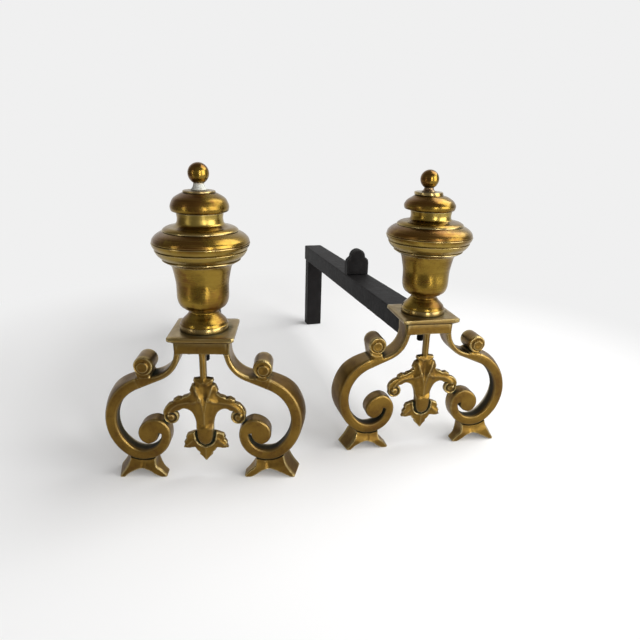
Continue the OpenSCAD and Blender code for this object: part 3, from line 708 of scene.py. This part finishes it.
def urn_foot(side):
    outer = [(FOOT_R - 0.5, 0), (FOOT_R - 0.1, 0.35), (FOOT_R, 1), (FOOT_R - 0.15, 5.9),
             (FOOT_R - 0.4, 6.5), (FOOT_R - 1.1, 6.9), (FOOT_R - 1.3, 7.3)] \
        + bend([(FOOT_R - 1.6, 7.9), (24.6, 10), (21.6, 13.2), (18.6, 16.2), (WAIST_R + 0.9, 18.9),
                (WAIST_R, 20.4), (WAIST_R + 0.7, FOOT_H)], 6)
    inner = bend([(10, FOOT_H - 4), (14.6, FOOT_H - 7.4), (18.6, 9.6), (FOOT_R - 5, 5),
                  (FOOT_R - 4.6, 0)], 3)
    return turned(rise(outer + [(BORE_R, FOOT_H), (BORE_R, FOOT_H - 4)] + inner, PLATE_TOP), 7)


# ---- the plinth ----
def round_square(half, r, n=96):
    """Points round a square with rounded corners, near enough at even angles."""
    out = []
    for k in range(n):
        a = 2 * pi * (k + 0.5) / n
        c, s = cos(a), sin(a)
        t = half / max(abs(c), abs(s))
        x, y = t * c, t * s
        core = half - r
        ax, ay = abs(x), abs(y)
        if ax > core and ay > core:
            d = hypot(ax - core, ay - core) or 1e-9
            ax, ay = core + (ax - core) * r / d, core + (ay - core) * r / d
        out.append((ax * (1 if x >= 0 else -1), ay * (1 if y >= 0 else -1)))
    return out


def plinth_plate(side):
    half = PLATE_W / 2
    low, core = PLATE_MOULD, half - PLATE_MOULD_IN
    levels = [(core - 0.4, 0), (core + 0.1, 0.25), (core + 1.4, 1.3), (half - 1.9, 2.1),
              (half - 0.5, low - 0.4), (half - 0.1, low + 0.2), (half, low + 0.9), (half, PLATE_T - 1),
              (half - 0.25, PLATE_T - 0.35), (half - 0.9, PLATE_T)]
    hole = [(BORE_R * x / hypot(x, y), BORE_R * y / hypot(x, y)) for x, y in round_square(half, 2.2)]
    mid = [((x + a * 5) / 6, (y + b * 5) / 6) for (x, y), (a, b) in zip(hole, round_square(half - 0.9, 2.2))]
    loops = [(hole, 0)] + [(round_square(w, 2.2), z) for w, z in levels] \
        + [(mid, PLATE_T), (hole, PLATE_T), (hole, 0)]
    return closed_mesh(*loft([at_height(loop, z + APRON_TOP) for loop, z in loops], cap=False))


def apron(side):
    """The front wall and its two cheeks, a channel that is open to the back."""
    w, d, t = APRON_W / 2, LEG_D, APRON_WALL
    plan = [(-w, 0), (-w, -d), (w, -d), (w, 0), (w - t, 0), (w - t, t - d), (t - w, t - d), (t - w, 0)]
    plan = np.array(evenly(plan, 2.0))
    away = away_from(plan)
    levels = ((0.0, 0.15), (0.15, 0.0), (0.8, 0.0), (APRON_H * 0.5, 0.0), (APRON_H - 0.7, 0.0),
              (APRON_H - 0.15, 0.2), (APRON_H, 0.6))
    mesh = closed_mesh(*loft([at_height(plan - away * inset, z + LEG_H) for z, inset in levels]))
    work = bmesh.new()
    work.from_mesh(mesh)
    bmesh.ops.triangulate(work, faces=[f for f in work.faces if len(f.verts) > 4])
    work.to_mesh(mesh)
    work.free()
    x, _, z = points_of(mesh).T
    mark(mesh, "flush", (z < LEG_H + 1) & (np.abs(x) > w - 9) | (np.abs(x) > w - 0.9))
    return mesh


# ---- the legs, drawn for +X ----
def strap(place):
    """Down the apron's side, round an arc and on to the lap, with a roll on its back. Its front lies flush
    with the apron's and the scroll's, so it has no edge along those two seams."""
    low_r, top_r, corner = STRAP_R + STRAP_W / 2, STRAP_R - STRAP_W / 2, APRON_W / 2
    roll_c = ROLL_C + ROLL_SHIFT[place]
    under = bend([(corner - 9.5, LEG_H), (corner - 7.0, LEG_H - 0.5), (corner - 5.2, LEG_H - 2.2)], 4) \
        + arc(STRAP_C, low_r, 192, 246, 30) + [tuple(LAP_IN)]
    over = [tuple(LAP_OUT)] + arc(roll_c, ROLL_R, -16, 236, 52) + arc(STRAP_C, top_r, 262, 180, 40) \
        + [(corner + 1.7, LEG_H + 8), (corner + 2.0, APRON_TOP)]
    loop = under + over + [(corner, APRON_TOP), (corner, LEG_H)]
    eye_c = roll_c + [0.6, -1.0]

    def front(points, d):
        to_roll, to_eye = from_spot(points, roll_c), from_spot(points, eye_c)
        around = bearing(points, roll_c)
        on_roll = smooth((ROLL_R + 0.6 - to_roll) / 1.0)
        wind = ((around - 20) % 360) / 360
        groove = hump(to_eye - EYE_R - 1.4 * wind, 0.75) * on_roll * (0.35 + 0.65 * smooth(wind / 0.5))
        eye = smooth((EYE_R + 0.4 - to_eye) / 1.4)
        lower = smooth((around - 175) / 35) * smooth((372 - around) / 30)
        crease = hump(to_roll - ROLL_R - 0.7, 1.2) * lower
        pit = hump(from_spot(points, LAP_OUT + [-1.2, 1.8]), 1.8)
        flat = LEG_D - band_drop(d)
        roll = LEG_D + 0.4 - rounding(d, 1.8) - 0.9 * (1 - eye + groove) - 0.5 * smooth((4 - to_eye) / 4)
        return flat * (1 - on_roll) + roll * on_roll - 1.3 * crease - 1.6 * pit

    return relief(loop, 0.0, front, 0.75, edges=[under, over])


def band_drop(d):
    """The band's front: well rounded at its edges, with a soft crown."""
    return rounding(d, 2.4) + 0.5 * (1 - smooth(d / 6.3))


STEPS = (44, 40, 24, 60)  # along the large arc, the lower turn, the volute and its head
SLOT_OPEN, SLOT_END = 0.6, 2.34  # how much narrower the volute's slot is at its mouth and at its end


def band_edges():
    """The band's outer and inner edges as matching points: large arc, lower turn, volute, head."""
    s1, s2, s3, s4 = STEPS
    out, inn = [], []
    for i in range(s1 + 1):
        a = toward(LAP_AT + (TURN_AT - LAP_AT) * i / s1)
        out.append(C1 + (SCROLL_R + BAND_W / 2) * a)
        inn.append(C1 + (SCROLL_R - BAND_W / 2) * a)
    for i in range(1, s2 + 1):
        u = i / s2
        a = toward(TURN_AT - (180 + TURN_AT) * u)
        w = BAND_W + (BAND_W_IN - BAND_W) * u
        out.append(C2 + (TURN_R + w / 2) * a)
        inn.append(C2 + (TURN_R - w / 2 + SLOT_OPEN * u * u) * a)
    for i in range(1, s3 + 1):
        u = i / s3
        out.append(C3 + (VOLUTE_R + BAND_W_IN / 2) * toward(180 - 80 * u))
        reach = VOLUTE_R - BAND_W_IN / 2 + SLOT_OPEN * (1 - u) - SLOT_END * u ** 1.5
        inn.append(C3 + reach * toward(180 - 12 * u))
    wide = VOLUTE_R + BAND_W_IN / 2
    for i in range(1, s4 + 1):
        u = i / s4
        shrink = 0.45 * u + 0.55 * (1 - (1 - u) ** 2)
        out.append(C3 + (HEAD_C - C3) * u + (wide - (wide - HEAD_R) * shrink) * toward(100 - 186 * u))
        inn.append(HEAD_C + HEAD_R * toward(173.4 + 92.6 * u))
    return out, inn


def scroll(_place):
    out, inn = band_edges()
    n, s1, s2 = len(out), STEPS[0], STEPS[1]
    rings, painted_shade = [], []
    for k in range(n):
        flank = FLANK * smooth(k * 22 / s1 / 7) * smooth((s1 - k) * 22 / s1 / 10)
        back = VOLUTE_BACK * smooth((k - s1 + 6 * s1 / 22) / (s2 + 6 * s1 / 22))
        a, w = inn[k], out[k] - inn[k]
        wide = hypot(*w)
        # each corner: its place across the band, its share of the flank, its height from the back, and its
        # painted shade
        shape = [(0.62 - 0.56 * back / VOLUTE_BACK, 0, back, 0), (0.9, 0.93, back, 0),
                 (0.97, 0.97, back + 0.5, 0), (1, 1, back + 1.6, 0), (1, 1, back + 3.2, 0),
                 (1, 0.9, 9 + back * 0.35, 0), (1, 0.7, 14, 0), (1, 0.42, 19.5, 0), (1, 0.2, LEG_D - 4.5, 0)]
        half = wide / 2
        for d in (0.0, 0.15, 0.5, 1.1, 1.8, 2.6, 3.8, 5.0):
            if d < half * 0.9:
                shape.append((1 - d / wide, 0.06 if d == 0 else 0, LEG_D - band_drop(d), 0))
        shape += [(0.5, 0, LEG_D - band_drop(half), 0)]
        for d in (5.0, 3.8, 2.6, 1.8, 1.1, 0.5, 0.15, 0.0):
            if d < half * 0.9:
                shape.append((d / wide, 0, LEG_D - band_drop(d), 0.4 if d == 0 else 0))
        while len(shape) < 26:
            shape.insert(9, shape[9])
        # the inner wall's corners take full painted shade, which colours that wall near black
        shape += [(0, 0, LEG_D - 6, 1), (0, 0, 18, 1), (0, 0, max(14, back + 2), 1),
                  (0.05, 0, max(13.2, back + 1.2), 1)]
        ring = []
        for s in shape:
            q = a + w * (s[0] + s[1] * flank / max(wide, 0.1))
            ring.append((q[0], -s[2], q[1]))
        rings.append(ring)
        painted_shade += [s[3] for s in shape]
    mesh = mesh_of(*loft(rings))
    mark(mesh, "shaded", painted_shade)
    outward(mesh)
    mark(mesh, "flush", stroke_distance(points_of(mesh)[:, [0, 2]].astype(float), [LAP_IN, LAP_OUT]) < 1.2)
    return mesh


def foot(place):
    """A fishtail foot, cut to the scroll's lower turn. It stands forward, and its outer side leans out."""
    seat = TURN_R + BAND_W / 2 + SEAM
    x2 = C2[0]
    tip = TOE_OUT[place]
    outer = bend([(tip - 13.4, 28), (tip - 11, 19), (tip - 6.6, 11), (tip - 2.6, 5.4),
                  (tip - 0.3, 2.2)], 7) \
        + [(tip, 1.2), (tip - 0.2, 0.4), (tip - 0.8, 0)]
    under = bend([(tip - 5, 0), (x2 + 15, ARCH_H * 0.62), (x2 + 4.4, ARCH_H), (x2 - 5, ARCH_H * 0.8),
                  (TOE_IN + 14, 3.6), (TOE_IN + 8, 0.4), (TOE_IN + 6, 0)], 6)
    inner = [(TOE_IN + 1.8, 0), (TOE_IN + 0.4, 0.6), (TOE_IN, 1.8)] \
        + bend([(TOE_IN + 0.9, 3.6), (TOE_IN + 5.4, 8.4), (x2 - 13.6, 14.6), (x2 - 12.6, 26)], 8)

    outer, inner = ([p for p in path if hypot(*(p - C2)) > seat] for path in (outer, inner))
    start, end = bearing(np.array([inner[-1], outer[0]]), C2)
    loop = outer + under + inner + arc(C2, seat, start, end, 40)

    def front(points, d):
        spine = [(x2 + 2, 30), (x2 + 1, 17), (x2 + 2.4, ARCH_H)]
        below = from_spot(points, C2) - seat
        forward = FOOT_FRONT * smooth((below - 1) / 11) - 0.3 * (1 - smooth(below / 2))
        return LEG_D + forward - rounding(d, 1.3) - 0.7 * hump(stroke_distance(points, spine), 2.4)

    def lean(rim):
        x, z = rim.T
        go = smooth((x - x2 - 6) / 12) * smooth((32 - z) / 14)
        return np.stack([FOOT_FLARE * go, 0 * go], 1)

    def back(rim):
        return FOOT_BACK + TOE_THIN * smooth((x2 - 9 - rim[:, 0]) / 13)

    return relief(loop, back, front, 0.8, lean=lean, edges=[outer + under + inner])


# ---- the leaf drop ----
def leaf_outline(side):
    half, top, tip, curl = STEM_W / 2, LEAF_TOP[side], LEAF_TIP[side], (CURL_X, CURL_Z[side])
    edge = [(half + 2.6, LEG_H), (half + 0.5, LEG_H - 2.2), (half, LEG_H - 6), (half, top + 1),
            (10.6, top), (11.4, top - 3.2), (9.8, top - 5.6), (13.2, top - 7.4), (14.8, top - 11),
            (16, top - 14.6), (14.8, top - 17), (17.6, top - 19.8), (23, top - 21.4), (24.4, top - 23),
            (29.4, top - 22.6), (34.2, top - 25.6), (34.6, top - 28.6)] \
        + bend([(39.6, top - 30.6), (44, curl[1] + 11.6), (46.4, curl[1] + 6.2),
                (curl[0] + CURL_R - 0.4, curl[1])], 6) \
        + arc(curl, CURL_R, -12, -236, 30) \
        + bend([(28.5, curl[1] + 7.8), (24, curl[1] + 10.2), (19, curl[1] + 9.4), (14.4, curl[1] + 5.8),
                (11.4, curl[1] - 1), (9.8, curl[1] - 9), (LOBE_W + 0.2, tip + 38.4)], 6)
    low = [(14, tip + 37.4), (20.8, tip + 34.6), (22.6, tip + 30.4), (21.8, tip + 28.4), (24.8, tip + 24),
           (24.2, tip + 21.6), (25.8, tip + 17), (19.6, tip + 16), (12.8, tip + 17.2), (10.4, tip + 13.2),
           (7.6, tip + 11), (7.4, tip + 8), (3.2, tip + 3.8), (0, tip)]
    return both_sides(edge + low)


def leaf_front(side):
    """Depth of the leaf's front: two ridges that run down from the crown and join over the middle lobe, a
    hollow between them, a ridge along each arm into its curl, and a cup of leaves round the lobe's end."""
    top, tip, curl = LEAF_TOP[side], LEAF_TIP[side], (CURL_X, CURL_Z[side])
    plain = LEG_D - LOBE_OUT
    lobe = bend([(LOBE_W + 3, tip + 50), (LOBE_W + 0.2, tip + 42), (LOBE_W - 0.6, tip + 32),
                 (LOBE_W - 3.4, tip + 25), (0, tip + 22)], 6)
    lobe = both_sides(lobe)
    fork = bend([(9.8, top - 9), (8.2, top - 14), (5.4, top - 21), (2.8, top - 28), (0.8, top - 36),
                 (0, top - 44), (0, tip + 34)], 5)
    limb = bend([(5, top - 24), (12, top - 28), (20, top - 29), (29, top - 31), (37, top - 37),
                 (40.6, top - 44), (41.4, curl[1] + 3)], 5)
    brow = bend([(12.0, top - 12), (16, top - 19), (23.6, top - 24), (31, top - 27)], 4)
    vein = bend([(6, tip + 33), (13.4, tip + 28), (21, tip + 21)], 4)
    keel = [(0, tip + 19), (0, tip + 3)]

    def front(points, d):
        x, z = np.abs(points[:, 0]), points[:, 1]
        p = np.stack([x, z], 1)

        def ridge(path, wide):
            return hump(stroke_distance(p, path), wide)

        on = inside(points, lobe)
        off = edge_distance(points, lobe)
        body = smooth((16 - x) / 8) * smooth((z - tip - 30) / 10)
        depth = plain - 1.9 - rounding(d, 1.7) + 2.2 * smooth(d / 7.5) * body
        depth += 1.9 * ridge(fork, 2.6) + 1.5 * ridge(limb, 2.4) + 0.7 * ridge(brow, 1.6)
        hollow = smooth((top - 4 - z) / 5) * smooth((z - top + 30) / 14)
        depth -= 1.9 * hump(x, 3.0) * hollow
        depth += 1.2 * ridge(vein, 2.2) + 1.4 * ridge(keel, 2.4)
        low = smooth((tip + 50 - z) / 8)
        swell = LOBE_OUT + 0.4 - 3.6 * (1 - np.sqrt(np.clip(1 - (1 - np.clip(off / 7.6, 0, 1)) ** 2, 0, 1)))
        depth = np.where(on, (plain + swell) * low + depth * (1 - low), depth)
        under = smooth((tip + 40 - z) / 3) * smooth((z - tip - 17) / 3)
        gap = np.where(on, 0, hump(off - 1.1, 1.1)) * under
        cup = np.where(on, 0, hump(off - 3.8, 1.3)) * under
        depth += 1.1 * cup - 2.6 * gap
        to_curl = from_spot(p, curl)
        around = (bearing(p, curl) - 60) % 360 / 360
        ring = hump(to_curl - 4.6 - 1.6 * around, 1.1) * (to_curl < CURL_R)
        boss = smooth((5.0 - to_curl) / 3.0)
        depth += -1.5 * ring + 0.9 * boss
        return np.minimum(depth, LEG_D + 0.3 - rounding(d, 1.2))
    return front


def leaf_drop(side):
    outline = leaf_outline(side)
    return relief(outline, LEG_D - LOBE_OUT - LEAF_T, leaf_front(side), 0.72, edges=[outline])


# ---- the tie rod, washer and nut ----
def tie_rod(side):
    low = NUT_TOP - NUT_H - ROD_TAIL
    thread = []
    z = low + 0.6
    while z < NUT_TOP + 6:
        thread += [(ROD_R - 0.5, z), (ROD_R, z + 0.55)]
        z += 1.25
    top = CAP_TOP[side]
    shape = [(0, low), (ROD_R - 1.1, low)] + thread \
        + [(ROD_R, z + 0.4), (ROD_R, top - 0.4), (STUD_D / 2, top - 0.4), (STUD_D / 2, top + 11.2),
           (0, top + 11.4)]
    return turned(shape, 8, 0.05, 40, slot="iron")


def tie_washer(side):
    r = WASHER_D / 2
    shape = [(BORE_R, 0), (r - 0.3, 0), (r, 0.3), (r, WASHER_T - 0.5), (r - 0.5, WASHER_T),
             (BORE_R, WASHER_T)]
    return turned(rise(shape, NUT_TOP), 9, 0.1, 64, slot="iron")


def tie_nut(side):
    """A hexagon with its corners chamfered by a cone, as a nut is turned."""
    n, low = 72, NUT_TOP - NUT_H
    corner = NUT_AF / 2 / cos(pi / 6)
    flat = []
    for k in range(n):
        a = 2 * pi * k / n
        flat.append((cos(a), sin(a), NUT_AF / 2 / cos(a % (pi / 3) - pi / 6)))
    rings = []
    bevel = ((0, 1.0), (0.3, 0.6), (0.8, 0.15), (1.4, 0))
    for z, cut in bevel + tuple((NUT_H - z, cut) for z, cut in reversed(bevel)):
        rings.append([(c * min(r, corner - cut), s * min(r, corner - cut), low + z) for c, s, r in flat])
    hole = [[(c * BORE_R, s * BORE_R, low + z) for c, s, r in flat] for z in (0, NUT_H)]
    return closed_mesh(*loft([hole[0]] + rings + [hole[1], hole[0]], cap=False))


# ---- the log bar, its rear leg and its log stop ----
def worked(mesh, amount, size):
    """Hammer marks: each point moves in along its normal by a smooth noise."""
    moved = [v.co - v.normal * amount * (noise.noise(v.co / size) * 0.5 + 0.5) for v in mesh.vertices]
    for v, co in zip(mesh.vertices, moved):
        v.co = co
    return mesh


def round_box(x, z0, z1, r, per=5):
    """A rounded rectangle in X and Z, anticlockwise, with a few points along each side."""
    out = []
    for cx, cz, a in ((x - r, z0 + r, -90), (x - r, z1 - r, 0), (r - x, z1 - r, 90), (r - x, z0 + r, 180)):
        out += arc((cx, cz), r, a, a + 90, 5)
    full = []
    for p, q in zip(out, out[1:] + out[:1]):
        n = per if hypot(p[0] - q[0], p[1] - q[1]) > 3 else 1
        full += [(p[0] + (q[0] - p[0]) * i / n, p[1] + (q[1] - p[1]) * i / n) for i in range(n)]
    return full


def log_bar(side):
    rings = []
    cuts = [(-TONGUE_L, 1), (-TONGUE_L + 0.4, 0.3), (-TONGUE_L + 1.4, 0)]
    cuts += [(-16 + 3 * i, 0) for i in range(9)]
    for y, inset in cuts + [(BAR_FRONT + 2, 0)]:
        rim = round_box(TONGUE_W / 2 - inset, TONGUE_LOW + inset, APRON_TOP - inset * 0.3, 1.2)
        rings.append([(x, y, z) for x, z in rim])
    tongue = loft(rings)
    rings = []
    for y, inset in [(BAR_FRONT, 1.2), (BAR_FRONT + 0.4, 0.4), (BAR_FRONT + 1.4, 0)] \
            + [(BAR_FRONT + 1.4 + (BAR_L - BAR_FRONT - 2.8) * i / 90, 0) for i in range(1, 91)] \
            + [(BAR_L - 0.4, 0.4), (BAR_L, 1.2)]:
        u = (y - BAR_FRONT) / (BAR_L - BAR_FRONT)
        w = (BAR_W + (BAR_W_END - BAR_W) * u) / 2
        rim = round_box(w - inset, BAR_LOW + inset, APRON_TOP - inset, 1.6, 9)
        rings.append([(x, y, z) for x, z in rim])
    body = loft(rings)
    shift = len(tongue[0])
    mesh = mesh_of(tongue[0] + body[0], tongue[1] + [[i + shift for i in f] for f in body[1]])
    return worked(outward(mesh, 0.0001), 0.5, 14.0)


def rear_leg(side):
    rings = []
    levels = [(0, 1.0), (0.4, 0.3)] + [(1.4 + (BAR_LOW - 1.4) * i / 34, 0) for i in range(35)]
    for z, inset in levels:
        half_w, half_t = REAR_W / 2 - inset, REAR_T / 2 - inset
        ring = [(x, q + BAR_L - REAR_T / 2, z) for x, q in round_box(half_w, -half_t, half_t, 1.6, 7)]
        rings.append(ring)
    return worked(closed_mesh(*loft(rings)), 0.4, 12.0)


def log_stop(side):
    half = STOP_W / 2
    right = [(half, 0.0), (half, STOP_H - 8)] \
        + bend([(half - 1, STOP_H - 3), (half - 4, STOP_H), (KNOB_R + 0.6, STOP_H + 1.2)], 6) \
        + arc((0, STOP_H + 2.4), KNOB_R, 0, 90, 20)
    loop = both_sides(right)

    def front(_points, d):
        return STOP_T - 0.3 - rounding(d, 1.4) + 0.3 * smooth(d / 6)

    mesh = relief(loop, 0.0, front, 1.3, back_round=1.2)
    mesh.transform(Matrix.Translation((0, STOP_Y + STOP_T / 2, APRON_TOP)))
    return worked(mesh, 0.3, 10.0)


STACK = {"urn_brass": (finial_ball, cap_washer, dome_cap, urn_lid, belly_ring, urn_bowl, urn_foot),
         "leg_brass": (plinth_plate, apron, leaf_drop),
         "iron": (tie_rod, tie_washer, tie_nut)}
for side in ("left", "right"):
    for slot, makers in STACK.items():
        for make in makers:
            put(make(side), side, make.__name__, slot)
    for make in (log_bar, rear_leg, log_stop):
        put(make(side), side, make.__name__, "iron", turn=BAR_TURN[side])
for make in (strap, scroll, foot):
    four(make, "leg_brass")


# ---- wear and grime ----
RAYS, REACH_IN, FADE, CLEAR = 10, 0.014, 0.020, 0.0003  # how many rays from a point, and metres along them


def gathered(count, a, b, to_a, to_b):
    """Each point's sum over its edges. a and b are the edges' ends."""
    total = np.zeros(count)
    np.add.at(total, a, to_a)
    np.add.at(total, b, to_b)
    return total


def spread(values, a, b, tally):
    """Each point's value, mixed twice with the mean of its neighbours'."""
    for _ in range(2):
        near = gathered(len(values), a, b, values[b], values[a])
        values = 0.5 * values + 0.5 * near / np.maximum(tally, 1)
    return values


def wear_and_grime(seed=11):
    """Marks each point with how far it stands proud, where hands rub it, and how shut in it is."""
    all_verts, all_faces, start = [], [], 0
    for piece in pieces:
        mesh = piece.data
        all_verts += [v.co.copy() for v in mesh.vertices]
        all_faces += [tuple(i + start for i in f.vertices) for f in mesh.polygons]
        start += len(mesh.vertices)
    tree = BVHTree.FromPolygons(all_verts, all_faces)
    rays = np.random.default_rng(seed).normal(size=(RAYS, 3))
    rays = [Vector(ray) for ray in rays / np.linalg.norm(rays, axis=1)[:, None]]
    for piece in pieces:
        mesh = piece.data
        count = len(mesh.vertices)
        co, normal = points_of(mesh), points_of(mesh, "normal")
        a, b = read(mesh.edges, "vertices", len(mesh.edges) * 2, np.int32).reshape(-1, 2).T
        step = co[a] - co[b]
        length = np.maximum(np.linalg.norm(step, axis=1), 1e-7)
        tally = gathered(count, a, b, 1, 1)
        proud = gathered(count, a, b, (normal[a] * step).sum(1) / length,
                         -(normal[b] * step).sum(1) / length)
        proud = spread(proud / np.maximum(tally, 1), a, b, tally)
        flush = read(mesh.attributes["flush"].data, "value", count)
        mark(mesh, "worn", np.clip(proud * 2.2, 0, 1) * (1 - flush))
        shut = np.zeros(count)
        for i in range(count):
            n = Vector(normal[i])
            base = Vector(co[i]) + n * CLEAR
            hits = 0
            for ray in rays:
                hit = tree.ray_cast(base, (n * 1.05 + ray).normalized(), REACH_IN)
                if hit[0] is not None:
                    hits += 1 - hit[3] / FADE
            shut[i] = hits / RAYS
        shut = spread(shut, a, b, tally)
        mark(mesh, "hollow", np.clip(shut + np.clip(-proud, 0, 1) * 0.8, 0, 1))


wear_and_grime()


# ---- floor, light and camera ----
BACKDROP = (0.871, 0.871, 0.871, 1)
FADE_FROM, FADE_TO = 0.36, 0.80  # metres from the middle, over which the table takes the backdrop's colour


def pale_floor():
    """A pale table top that takes the shadow near the andirons and fades into the backdrop's own colour."""
    rim = [(-0.62, -0.62), (0.04, -0.62), (0.34, -1.15), (1.15, -0.95), (6.5, 9.0), (-6.5, 9.0)]
    mesh = bpy.data.meshes.new("floor")
    mesh.from_pydata([(x, y, 0) for x, y in rim], [], [tuple(range(len(rim)))])
    floor = in_scene("floor", mesh)
    f = Finish("floor")
    out = f.tree.nodes["Material Output"]
    f.set(Base_Color=(0.88, 0.88, 0.88, 1), Roughness=0.9)
    away = f.node("ShaderNodeVectorMath", {"operation": "LENGTH"}, {0: f.at}, out="Value")
    glow = f.node("ShaderNodeEmission", {}, {"Color": BACKDROP})
    share = f.rays("Camera", "Glossy", "Transmission") * (0.14 + 0.86 * away.between(FADE_FROM, FADE_TO))
    mixed = f.node("ShaderNodeMixShader", {}, {0: share, 1: Wire(f, f.shader.outputs[0]), 2: glow})
    f.tree.links.new(mixed.socket, out.inputs["Surface"])
    mesh.materials.append(f.material)


def pale_world():
    """Pale to the camera and where metal reflects the backdrop, and a plain level of light from all round."""
    world = bpy.data.worlds.new("studio")
    bpy.context.scene.world = world
    world.use_nodes = True
    world.node_tree.nodes.clear()
    w = Tree(world.node_tree)
    behind = w.axes(w.node("ShaderNodeTexCoord", out="Generated"))[1].between(0.3, 0.8)
    seen = w.rays("Camera", "Transmission") + w.rays("Glossy") * behind
    dim = w.node("ShaderNodeBackground", {}, {"Color": (1.0, 0.985, 0.97, 1), "Strength": 0.28})
    pale = w.node("ShaderNodeBackground", {}, {"Color": BACKDROP, "Strength": 1.0})
    mixed = w.node("ShaderNodeMixShader", {}, {0: seen, 1: dim, 2: pale})
    w.node("ShaderNodeOutputWorld", {}, {"Surface": mixed})


def facing(place, aim):
    """The place and turn of a lamp or a camera that looks along aim."""
    return Matrix.Translation(place) @ aim.to_track_quat("-Z", "Y").to_matrix().to_4x4()


def soft_lamp(name, place, aim, width, height, watts):
    """A rectangular lamp, in metres, that lights and shows in the metal but not in the picture."""
    data = bpy.data.lights.new(name, "AREA")
    data.shape, data.size, data.size_y, data.energy = "RECTANGLE", width, height, watts
    lamp = in_scene(name, data)
    lamp.visible_camera = False
    lamp.matrix_world = facing(place, Vector(aim) - Vector(place))


# The photograph's camera: its focal length in the picture's pixels, its turn in degrees, and its place in
# millimetres from the left andiron's tie rod.
FOCUS, PICTURE, SENSOR = 557.8, 640, 36.0
PITCH, YAW, ROLL = radians(18.27), radians(2.63), radians(1.56)
CAMERA_AT = (101.1, -591.2, 378.8)


def camera():
    data = bpy.data.cameras.new("photo_view")
    data.sensor_width, data.lens = SENSOR, SENSOR * FOCUS / PICTURE
    cam = in_scene("photo_view", data)
    aim = Vector((sin(YAW) * cos(PITCH), cos(YAW) * cos(PITCH), -sin(PITCH)))
    spot = (Vector(CAMERA_AT) - Vector((FRAME_X, FRAME_Y, 0))) / 1000
    cam.matrix_world = facing(spot, aim) @ Matrix.Rotation(ROLL, 4, "Z")
    bpy.context.scene.camera = cam


pale_floor()
pale_world()
soft_lamp("right_window", (2.35, -1.35, 0.55), (0.0, -0.2, 0.2), 1.7, 2.6, 84)
soft_lamp("high_right", (1.5, 0.3, 2.1), (0.0, -0.1, 0.1), 1.8, 1.8, 52)
soft_lamp("front_strip", (0.44, -1.35, 0.25), (-0.13, -0.27, 0.2), 0.16, 1.3, 9.0)
soft_lamp("left_strip", (-1.1, -0.95, 0.3), (-0.13, -0.27, 0.2), 0.10, 1.2, 2.0)
camera()
bpy.context.scene.view_settings.view_transform = "Standard"
